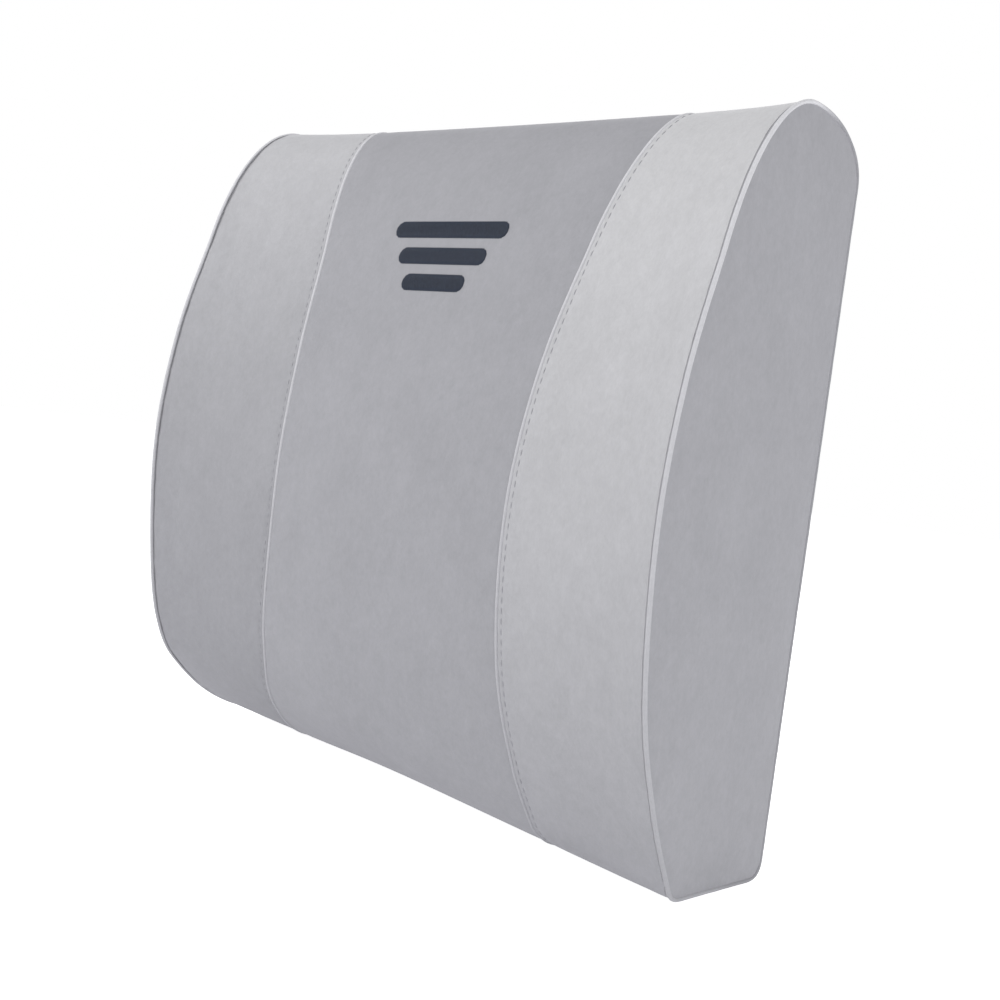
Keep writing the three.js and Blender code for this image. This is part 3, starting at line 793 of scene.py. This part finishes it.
def plated_metal():
    """Nickel-plated zinc: bright, with faint brushing, and duller in patches from handling."""
    s = Shader("zip_metal")
    brush = s.noise(0.5, 2.0, 0.6, (0.08, 1, 1))
    patch = s.noise(4, 3.0)
    tint = s.total((s.centred(patch), 0.3))
    roughness = s.math("MULTIPLY_ADD", patch, 0.25, s.math("MULTIPLY_ADD", brush, 0.15, 0.12))
    s.tint(0xA9AAAD, tint, Metallic=1.0, Roughness=roughness)
    return s.bump(brush, 0.01, 0.4)


def open_cell_foam():
    """Cream polyurethane foam with open cells."""
    s = Shader("foam")
    cells = s.nodes.new("ShaderNodeTexVoronoi")
    cells.inputs["Scale"].default_value = 1 / (1.2 * MM)
    s.links.new(s.place, cells.inputs["Vector"])
    # Painted shade: darker in the hollows of the cells.
    change = s.total((s.math("SUBTRACT", cells.outputs["Distance"], 0.4), 0.3))
    s.tint(0xE6DFC9, change, Roughness=0.9, Subsurface_Weight=0.1)
    return s.bump(cells.outputs["Distance"], 0.4, 0.6)


def finish(obj, material):
    """Gives a new piece its material."""
    obj.data.materials.append(material)
    return obj


def refinish(nodes, material):
    """Gives CAD nodes a better material."""
    for name in nodes:
        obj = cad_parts[name]
        obj.data.materials.clear()
        obj.data.materials.append(material)


mid_velour = velour("velour_mid", 0xA9A9AE)
# The wings are painted paler towards the top: painted sheen and light from above.
wing_velour_painted_sheen = velour("velour_light", 0xD4D4D6, 0xAAAAAF)
# Painted shade: the left wing gets a darker copy of the same cloth that stays darker further up, where it
# is turned from the light.
wing_velour_left_painted_sheen_and_shade = velour("velour_wing_left_painted_sheen_and_shade", 0xC8C8CB, 0xA1A1A6, 2.5)
back_cloth = knitted_back()
piping_velour = piping_cloth()
pale_thread = plain_thread("pale_thread", 0xA3A3A9)
grey_thread = plain_thread("grey_thread", 0x85858B)
dark_thread = plain_thread("dark_thread", 0x303036)
emblem_thread = satin_thread()
tape_weave = woven("zip_tape", 0x6E6D73, 0.9, 0.7, 0.1)
strap_weave = woven("webbing", 0x5A5A60, 1.6, 1.3, attribute="run")
strap_elastic = elastic()
coil_nylon = nylon()
zip_metal = plated_metal()
acetal = moulded()
foam_cells = open_cell_foam()


# ---- cover
sewn_grid = body_grid()
sewn_patches = [end_patch(sewn_grid[:, column], sign) for column, sign in ((0, -1), (COLUMNS - 1, 1))]
cover_points, cover_faces, patch_numbers = cover_mesh(sewn_grid, sewn_patches)
cover_points = swollen(cover_points, cover_faces)
cover_normals = vertex_normals(cover_points, cover_faces)
cover_grid = cover_points[:RING * COLUMNS].reshape(RING, COLUMNS, 3)
cord_grid = cover_grid - CORD_SINK * cover_normals[:RING * COLUMNS].reshape(RING, COLUMNS, 3)
wrap_grid = cover_grid[:TOP_ROW + 1]


def front_panel(place, first, last, material, stitched):
    """One front panel, between two columns of the cover."""
    grid = wrap_grid[:, first:last + 1]
    panel, surface = sewn_sheet(f"cover_front_{place}", grid, stitched, PLAIN_ROOM)
    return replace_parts(finish(panel, material), f"front_{place}_panel"), surface


centre, _ = front_panel("centre", LEFT_SEAM, RIGHT_SEAM, mid_velour, ())
_, left_surface = front_panel("left", 0, LEFT_SEAM, wing_velour_left_painted_sheen_and_shade, ("last",))
_, right_surface = front_panel("right", RIGHT_SEAM, COLUMNS - 1, wing_velour_painted_sheen, ("first",))

for place, numbers, sign in zip(("left", "right"), patch_numbers, (-1, 1)):
    end, _ = sewn_sheet(f"cover_side_{place}", cover_points[numbers], outward=(sign, 0, 0))
    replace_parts(finish(end, mid_velour), f"{place}_side_panel")


# ---- back panels and zip slot
SLOT_OPENING = 7.6  # half height of the slot
LIP_RAMP = 5  # length over which the slot closes at each end
ZIP_STITCH = 3.0  # from a lip to its row of stitches
LIP_STEPS = np.array([0, 0.1, 0.3, 0.6, 1.0, 1.5, 2.2, 3.0])  # distances from a lip, close at first
BACK_COLUMNS = 130
BACK_ROW = 2.5


def back_surface(x, z):
    """The back of the swollen cover at (x, z)."""
    back_rows = np.concatenate([cover_grid[TOP_ROW:], cover_grid[:1]])
    row = (BACK_TOP - z) / (BACK_TOP - HEEL_ROUND) * UP_ROWS
    half = seam_half(z, x)
    wing = (np.abs(x) - half) / (SIDE - half) * WING_COLUMNS + CENTRE_COLUMNS / 2
    middle = np.abs(x) / half * CENTRE_COLUMNS / 2
    column = (COLUMNS - 1) / 2 + np.sign(x) * np.where(np.abs(x) > half, wing, middle)
    r = np.clip(row.astype(int), 0, UP_ROWS - 1)
    c = np.clip(column.astype(int), 0, COLUMNS - 2)
    s, t = row - r, column - c
    depth = back_rows[..., 1]
    low = depth[r, c] * (1 - t) + depth[r, c + 1] * t
    high = depth[r + 1, c] * (1 - t) + depth[r + 1, c + 1] * t
    return low * (1 - s) + high * s


def back_panel(name, sign, far):
    """One back panel, from its lip at the zip to its far seam."""
    edge = SIDE - SEAM_ROOM
    inner = np.linspace(-edge + EDGE_STEPS[-1], edge - EDGE_STEPS[-1], BACK_COLUMNS)
    x = np.concatenate([EDGE_STEPS - SIDE, inner[1:-1], SIDE - EDGE_STEPS[::-1]])
    closing = smoothstep((np.abs(x) - SLOT_HALF + 1) / LIP_RAMP)
    lip = ZIP_MIDDLE + sign * (SLOT_OPENING * (1 - closing) + CLEARANCE * closing)
    seam_steps = (EDGE_STEPS - SEAM_ROOM)[::-1]
    length = np.abs(far - lip)
    count = int(np.max(length) / BACK_ROW)
    share = np.linspace(0, 1, count + 2)[1:-1]
    rows = [np.full(len(x), s) for s in LIP_STEPS]
    rows += [LIP_STEPS[-1] + (length - LIP_STEPS[-1] - seam_steps[0]) * s for s in share]
    rows += [length - s for s in seam_steps]
    from_lip = np.stack(rows)
    z = lip[None] + sign * from_lip
    across = np.broadcast_to(x, z.shape)
    surface = np.stack([across, back_surface(across, z), z], -1)
    from_side = edge - np.abs(across)
    from_far = length[None] - from_lip
    sink = rolled(np.minimum(from_side, from_far)) + rolled(from_lip, 0.9) * 0.75
    sink += 0.25 * np.exp(-((from_lip - ZIP_STITCH) / 0.5) ** 2)
    sink += pucker(surface, np.minimum(from_side, from_far)) * 0.6
    outer = surface - sink[..., None] * np.array([0, 1, 0])
    inner_side = outer - CLOTH * np.array([0, 1, 0])
    points, faces = sheet_mesh(outer, inner_side)
    return finish(make_object(name, points, faces), back_cloth)


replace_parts(back_panel("cover_back_upper", 1, BACK_TOP - PLAIN_ROOM), "back_panel_upper")
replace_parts(back_panel("cover_back_lower", -1, HEEL_ROUND + PLAIN_ROOM), "back_panel_lower")


# ---- piping
def cord_ring(i):
    """The cord's section, a little uneven along its length."""
    return circle(CORD_RADIUS * (1 + 0.04 * math.sin(i * 0.9) * math.sin(i * 0.23)))


def piping(name, seam_line, closed):
    cord = sweep(f"piping_{name}", seam_line, cord_ring, closed=closed)
    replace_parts(finish(cord, piping_velour), f"{name}_piping")


for name, column in (("front_left", LEFT_SEAM), ("front_right", RIGHT_SEAM)):
    piping(name, resample(cord_grid[:TOP_ROW + 1, column], np.arange(0, TOP_ROW + 0.25, 0.5)), False)

for name, column in (("left_side", 0), ("right_side", COLUMNS - 1)):
    loop = np.concatenate([cord_grid[-1:, column], cord_grid[:, column], cord_grid[:2, column]])
    piping(name, resample(loop, np.arange(1, RING + 1, 0.5)), True)


# ---- stitches
def stitch_row(line, outward, length, gap, radius):
    """Points and faces of a dashed row of thread that lies along a line."""
    along = distances(line)
    count = int((along[-1] + gap) / (length + gap))
    pitch = along[-1] / count
    points, faces = [], []
    sections = ((0, 0.25), (0.12, 0.85), (0.5, 1.0), (0.88, 0.85), (1, 0.25))
    for n in range(count):
        at = [n * pitch + gap / 2 + (pitch - gap) * s for s, _ in sections]
        centres = np.stack([np.interp(at, along, line[:, k]) for k in range(3)], 1)
        outs = np.stack([np.interp(at, along, outward[:, k]) for k in range(3)], 1)
        direction = centres[-1] - centres[0]
        direction /= np.linalg.norm(direction)
        start = len(points)
        for (s, size), centre_point, out in zip(sections, centres, outs):
            side = np.cross(direction, out)
            side /= np.linalg.norm(side)
            lift = radius * (0.9 * math.sin(math.pi * s) - 0.45)
            for a, b in circle(radius * size, 6):
                points.append(centre_point + side * a + out * (b + lift))
        for k in range(len(sections) - 1):
            for j in range(6):
                a, b = start + 6 * k + j, start + 6 * k + (j + 1) % 6
                faces.append((a, b, b + 6, a + 6))
        faces.append(tuple(start + j for j in range(6))[::-1])
        faces.append(tuple(start + 6 * (len(sections) - 1) + j for j in range(6)))
    return points, faces


def stitches(name, lines, material, length=3.2, gap=1.3, radius=0.24):
    """One piece made of dashed rows; each line comes with the outward direction at its points."""
    points, faces = [], []
    for line, outward in lines:
        more_points, more_faces = stitch_row(line, outward, length, gap, radius)
        faces += [tuple(len(points) + i for i in f) for f in more_faces]
        points += more_points
    points = np.array(points)
    return finish(make_object(name, points, facing_out(points, faces)), material)


def surface_line(surface, edge):
    """The row of points where a wing's stitches lie, with the outward direction there."""
    index = int(np.argmin(np.abs(EDGE_STEPS - STITCH_OFFSET)))
    column = index if edge == "first" else surface.shape[1] - 1 - index
    return surface[2:-2, column], normals(surface)[2:-2, column]


stitches("topstitch_left", [surface_line(left_surface, "last")], pale_thread)
stitches("topstitch_right", [surface_line(right_surface, "first")], pale_thread)


# ---- zip
ZIP_REACH = COIL_HIGH[0]
COIL_PITCH = 1.5
COIL_WIRE = 0.3
TAPE_TUCK = 8  # the tapes run on under the cloth beyond the ends of the slot
COIL_GAP = 0.3  # from the zip's middle line to the nearest wire


def zip_coil(name, sign):
    """Half of the closed zip: a flattened spiral whose loops reach in between the other half's."""
    turns = 2 * ZIP_REACH / COIL_PITCH
    angle = np.linspace(0, 2 * math.pi * turns, int(turns * 12))
    reach = (COIL_HIGH[2] - ZIP_MIDDLE - COIL_GAP) / 2 - COIL_WIRE
    middle = COIL_GAP + COIL_WIRE + reach
    x = -ZIP_REACH + COIL_PITCH * angle / (2 * math.pi) + sign * COIL_PITCH / 4
    y = (COIL_LOW[1] + COIL_HIGH[1]) / 2 + ((COIL_HIGH[1] - COIL_LOW[1]) / 2 - COIL_WIRE) * np.sin(angle)
    z = ZIP_MIDDLE + sign * (middle + reach * np.cos(angle))
    inside = np.abs(x) < ZIP_REACH
    wire = sweep(name, np.stack([x, y, z], 1)[inside], lambda i: circle(COIL_WIRE, 6))
    return finish(wire, coil_nylon)


def zip_tape(name, sign):
    """The woven tape that a coil is sewn to, gently waved along its free edge."""
    x = np.linspace(-SLOT_HALF - TAPE_TUCK, SLOT_HALF + TAPE_TUCK, 260)[None, :]
    reach = np.linspace(COIL_GAP, TAPE_HIGH[2] - ZIP_MIDDLE, 12)[:, None]
    wave = 0.12 * np.sin(x * 0.21) * (reach / reach[-1]) ** 2
    across, up = np.broadcast_arrays(x, ZIP_MIDDLE + sign * reach)
    outer = np.stack([across, TAPE_HIGH[1] + wave, up], -1)
    inner = np.stack([across, TAPE_LOW[1] + wave, up], -1)
    points, faces = sheet_mesh(outer, inner)
    return finish(make_object(name, points, faces), tape_weave)


for name, sign in (("upper", 1), ("lower", -1)):
    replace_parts(zip_coil(f"coil_{name}", sign), f"zip_coil_{name}")
    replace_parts(zip_tape(f"tape_{name}", sign), f"zip_tape_{name}")

BACKWARD = np.array([0, 1, 0])


def back_line(height):
    """A level line on the back cloth for a row of stitches."""
    x = np.linspace(-SLOT_HALF, SLOT_HALF, 120)
    line = np.stack([x, back_surface(x, np.full(len(x), height)) - 0.3, np.full(len(x), height)], 1)
    return line, np.broadcast_to(BACKWARD, line.shape)


zip_rows = [back_line(ZIP_MIDDLE + sign * (SLOT_OPENING + ZIP_STITCH)) for sign in (1, -1)]
stitches("zip_stitching", zip_rows, grey_thread, 2.4, 0.9, 0.26)
refinish(("zip_slider", "zip_pull_tab", "zip_stop_left", "zip_stop_right"), zip_metal)


# ---- strap and buckle
WEB = 1.2
WEB_FLAT = STRAP_LOW[1] + WEB / 2
WEB_HALF = (STRAP_HIGH[2] - STRAP_LOW[2]) / 2
BUCKLE_Y = (SOCKET_LOW[1] + SOCKET_HIGH[1]) / 2
BAR_HALF = 1.6
OVER_BAR = BAR_HALF + CLEARANCE + WEB / 2
BESIDE_BAR = 2 + CLEARANCE + WEB / 2  # from a bar's middle to the middle of the web beside it
SOCKET_BAR = SOCKET_LOW[0] + 2.5  # x of the bars that the webs wrap
PLUG_BAR = PLUG_HIGH[0] - 8.75
TURN = 0.7  # cut off a corner of a web's path where it turns
ELASTIC_SPLIT = 40  # to the left of this the elastic moves with the plug
ELASTIC_SEWN = 100  # to the right of this it is sewn flat


def web_ring(i):
    """Section of a web with rounded selvedges."""
    across = np.linspace(-1, 1, 25)
    thick = WEB / 2 * (1 - np.abs(across) ** 14 * 0.8)
    upper = np.stack([across * WEB_HALF, thick], 1)
    lower = np.stack([across[::-1] * WEB_HALF, -thick[::-1]], 1)
    return np.concatenate([upper, lower])


def web(name, corners, material, body="cushion"):
    """A web that follows a path drawn in X and Y, with its corners rounded."""
    line = []
    for (ax, ay), (bx, by) in zip(corners, corners[1:]):
        steps = max(2, int(math.hypot(bx - ax, by - ay) / 1.2))
        line += [(ax + (bx - ax) * k / steps, ay + (by - ay) * k / steps) for k in range(steps)]
    line = np.array(line + [corners[-1]])
    for _ in range(3):
        line[1:-1] = (line[:-2] + 2 * line[1:-1] + line[2:]) / 4
    path = np.stack([line[:, 0], line[:, 1], np.full(len(line), STRAP_HEIGHT)], 1)
    strip = sweep(name, path, web_ring, side=(0, 0, 1), body=body)
    return finish(strip, material)


UNDER = BUCKLE_Y - OVER_BAR
OVER = BUCKLE_Y + OVER_BAR
socket_slot = SOCKET_BAR + BESIDE_BAR
tail = WEB_FLAT + WEB + CLEARANCE
left_web = web("strap_left_web", [
    (-ANCHOR, WEB_FLAT), (SOCKET_BAR - 12, WEB_FLAT), (SOCKET_BAR - 4, UNDER),
    (socket_slot - TURN, UNDER), (socket_slot, UNDER + TURN),
    (socket_slot, OVER - TURN), (socket_slot - TURN, OVER),
    (SOCKET_BAR - 4, OVER), (SOCKET_BAR - 14, tail), (SOCKET_BAR - 42, tail),
], strap_weave)
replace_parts(left_web, "strap_left")

in_slot = PLUG_BAR - BESIDE_BAR
out_slot = PLUG_BAR + BESIDE_BAR
elastic_tail = tail + CLEARANCE
loop = web("elastic_loop", [
    (ELASTIC_SPLIT, WEB_FLAT), (in_slot + TURN, WEB_FLAT), (in_slot, WEB_FLAT + TURN),
    (in_slot, OVER - TURN), (in_slot + TURN, OVER),
    (out_slot - TURN, OVER), (out_slot, OVER - TURN),
    (out_slot, elastic_tail + TURN), (out_slot + TURN, elastic_tail), (out_slot + 48, elastic_tail),
], strap_elastic, "plug")
stretch = web("elastic_stretch", [(ELASTIC_SEWN, WEB_FLAT), (ELASTIC_SPLIT, WEB_FLAT)], strap_elastic)
sewn_end = web("elastic_sewn_end", [(ANCHOR, WEB_FLAT), (ELASTIC_SEWN, WEB_FLAT)], strap_elastic)
for piece in (loop, stretch, sewn_end):
    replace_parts(piece, "strap_right")
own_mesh(stretch)


def crossed_box(middle, half):
    """Rows of stitches round a square and across its diagonals, on top of a web."""
    corners = [(-1, -1), (1, -1), (1, 1), (-1, 1), (-1, -1)]
    runs = list(zip(corners, corners[1:])) + [((-1, -1), (1, 1)), ((-1, 1), (1, -1))]
    rows = []
    for (ax, az), (bx, bz) in runs:
        t = np.linspace(0, 1, 12)
        x = middle + half * (ax + (bx - ax) * t)
        z = STRAP_HEIGHT + half * (az + (bz - az) * t)
        line = np.stack([x, np.full(len(t), WEB_FLAT + WEB / 2 + 0.08), z], 1)
        rows.append((line, np.broadcast_to(BACKWARD, line.shape)))
    return rows


for name, sign in (("left", -1), ("right", 1)):
    low, high = box_mm(f"anchor_stitch_{name}")
    box_rows = crossed_box((low[0] + high[0]) / 2, (high[0] - low[0]) / 2 - 0.3)
    cross = stitches(f"strap_stitching_{name}", box_rows, dark_thread, 2.2, 0.7, 0.3)
    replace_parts(cross, f"anchor_stitch_{name}")

BUCKLE_NODES = ("buckle_socket", "buckle_plug", "buckle_arm_upper", "buckle_arm_lower")
SHARP_ANGLE = 35  # degrees between two faces, from which their edge is rounded
refinish(BUCKLE_NODES, acetal)


def round_edges(nodes, radius):
    """Rounds the sharp edges of CAD nodes that stay on show."""
    for name in nodes:
        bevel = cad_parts[name].modifiers.new("Bevel", "BEVEL")
        bevel.width = radius * MM
        bevel.segments = 2
        bevel.limit_method = "ANGLE"
        bevel.angle_limit = math.radians(SHARP_ANGLE)


round_edges(BUCKLE_NODES, 0.35)
round_edges(("zip_slider", "zip_pull_tab"), 0.15)


# ---- emblem
THREAD_PITCH = 0.62
SATIN_RISE = 0.75


def front_depth(x, z):
    """Y of the centre panel's front at (x, z), from its own mesh."""
    return centre_tree.ray_cast(Vector((x, -HEIGHT, z)), Vector((0, 1, 0)))[0].y


def satin_bar(node):
    """One embroidered bar: upright satin threads over the cloth, rounded at both ends."""
    low, high = box_mm(node)
    middle = (low[2] + high[2]) / 2
    half_high = (high[2] - low[2]) / 2
    half_wide = (high[0] - low[0]) / 2
    x = np.arange(-half_wide + 0.15, half_wide - 0.14, THREAD_PITCH / 5)
    corner = np.clip((np.abs(x) - half_wide + half_high) / half_high, 0, 1)
    reach = half_high * np.sqrt(1 - corner ** 2 * 0.93)
    share = np.sin(np.linspace(-math.pi / 2, math.pi / 2, 13))
    thread = np.abs(np.sin(math.pi * x / THREAD_PITCH))
    edge = 0.18 * np.sin(np.floor(x / THREAD_PITCH) * 2.4)
    outer = np.zeros((len(share), len(x), 3))
    inner = np.zeros_like(outer)
    for r, t in enumerate(share):
        dome = SATIN_RISE * (1 - t ** 4) * (1 - 0.5 * corner ** 4)
        for c, across in enumerate(x):
            z = middle + t * (reach[c] + edge[c])
            y = front_depth(across, z)
            outer[r, c] = (across, y - 0.12 - dome[c] * (0.55 + 0.45 * thread[c]), z)
            inner[r, c] = (across, y + 0.3, z)
    points, faces = sheet_mesh(outer, inner)
    bar = finish(make_object(f"satin_{node}", points, faces), emblem_thread)
    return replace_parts(bar, node)


centre_points = [v.co / MM for v in centre.data.vertices]
centre_tree = BVHTree.FromPolygons(centre_points, [list(p.vertices) for p in centre.data.polygons])
for node in ("emblem_bar_upper", "emblem_bar_middle", "emblem_bar_lower"):
    satin_bar(node)


# ---- foam
FOAM_INSET = 4.5
foam = make_object("foam_block", cover_points - cover_normals * FOAM_INSET, cover_faces)
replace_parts(finish(foam, foam_cells), "foam_core")


# ---- floor, light, camera
FLOOR_HALF = 6000
FLOOR_GAP = 0.2  # the floor lies this far below the lowest point
FLOOR_GLOW = 0.35  # what the floor adds to the light from below
FLOOR_WHITE = 0.53  # what it shows the camera on top of that
WORLD_LIGHT = 0.47
LIGHT_AIM = (0, -40, 160)


def make_floor():
    h = FLOOR_HALF
    level = min(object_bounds()[0][2] / MM, 0) - FLOOR_GAP
    corners = [(-h, -h, level), (h, -h, level), (h, h, level), (-h, h, level)]
    floor = make_object("floor", corners, [(0, 1, 2, 3)], body=None)
    s = Shader("floor")
    seen = s.nodes.new("ShaderNodeLightPath").outputs["Is Camera Ray"]
    s.set(Base_Color=linear(0xDCDCDE), Roughness=0.9, Specular_IOR_Level=0.1)
    glow = s.math("MULTIPLY_ADD", seen, FLOOR_WHITE, FLOOR_GLOW)
    s.set(Emission_Color=linear(0xFFFFFF), Emission_Strength=glow)
    floor.data.materials.append(s.material)


def make_world():
    """White to the camera, and a softer white to everything that it lights."""
    world = bpy.data.worlds.new("studio")
    bpy.context.scene.world = world
    world.use_nodes = True
    nodes, links = world.node_tree.nodes, world.node_tree.links
    seen = nodes.new("ShaderNodeBackground")
    seen.inputs["Color"].default_value = (1, 1, 1, 1)
    lit = nodes["Background"]
    lit.inputs["Color"].default_value = (1, 1, 1, 1)
    lit.inputs["Strength"].default_value = WORLD_LIGHT
    path = nodes.new("ShaderNodeLightPath")
    choice = nodes.new("ShaderNodeMixShader")
    links.new(path.outputs["Is Camera Ray"], choice.inputs["Fac"])
    links.new(lit.outputs[0], choice.inputs[1])
    links.new(seen.outputs[0], choice.inputs[2])
    links.new(choice.outputs[0], nodes["World Output"].inputs["Surface"])


def direction(azimuth, elevation):
    """From the object towards a viewer: azimuth 0 is in front, 90 is off the right end."""
    a, e = math.radians(azimuth), math.radians(elevation)
    return Vector((math.sin(a) * math.cos(e), -math.cos(a) * math.cos(e), math.sin(e)))


def area_light(name, azimuth, elevation, distance, size, power):
    """A soft round lamp that faces the middle of the cushion."""
    data = bpy.data.lights.new(name, "AREA")
    data.shape = "DISK"
    data.size = size * MM
    data.energy = power
    light = stand(name, data)
    back = direction(azimuth, elevation)
    light.location = (back * distance + Vector(LIGHT_AIM)) * MM
    light.rotation_mode = "QUATERNION"
    light.rotation_quaternion = back.to_track_quat("Z", "Y")


CAMERA_AIM = (44.9, -48.3, 149.3)
CAMERA_DISTANCE = 640
CAMERA_AZIMUTH = 41.25
CAMERA_ELEVATION = 2.53
CAMERA_ROLL = 7.59
CAMERA_LENS = 50.8
SENSOR = 36


def make_camera():
    data = bpy.data.cameras.new("camera")
    data.sensor_width = SENSOR
    data.lens = CAMERA_LENS
    data.clip_start = 0.01
    data.clip_end = 50
    camera = stand("camera", data)
    back = direction(CAMERA_AZIMUTH, CAMERA_ELEVATION)
    facing = back.to_track_quat("Z", "Y").to_matrix().to_4x4()
    roll = Matrix.Rotation(math.radians(CAMERA_ROLL), 4, "Z")
    place = Matrix.Translation((Vector(CAMERA_AIM) + back * CAMERA_DISTANCE) * MM)
    camera.matrix_world = place @ facing @ roll
    bpy.context.scene.camera = camera


make_floor()
make_world()
area_light("key", -30, 32, 1500, 900, 9)
area_light("fill", 85, 10, 1600, 1000, 6.2)
area_light("back", 200, 35, 1600, 900, 10)
make_camera()
bpy.context.scene.view_settings.view_transform = "Standard"
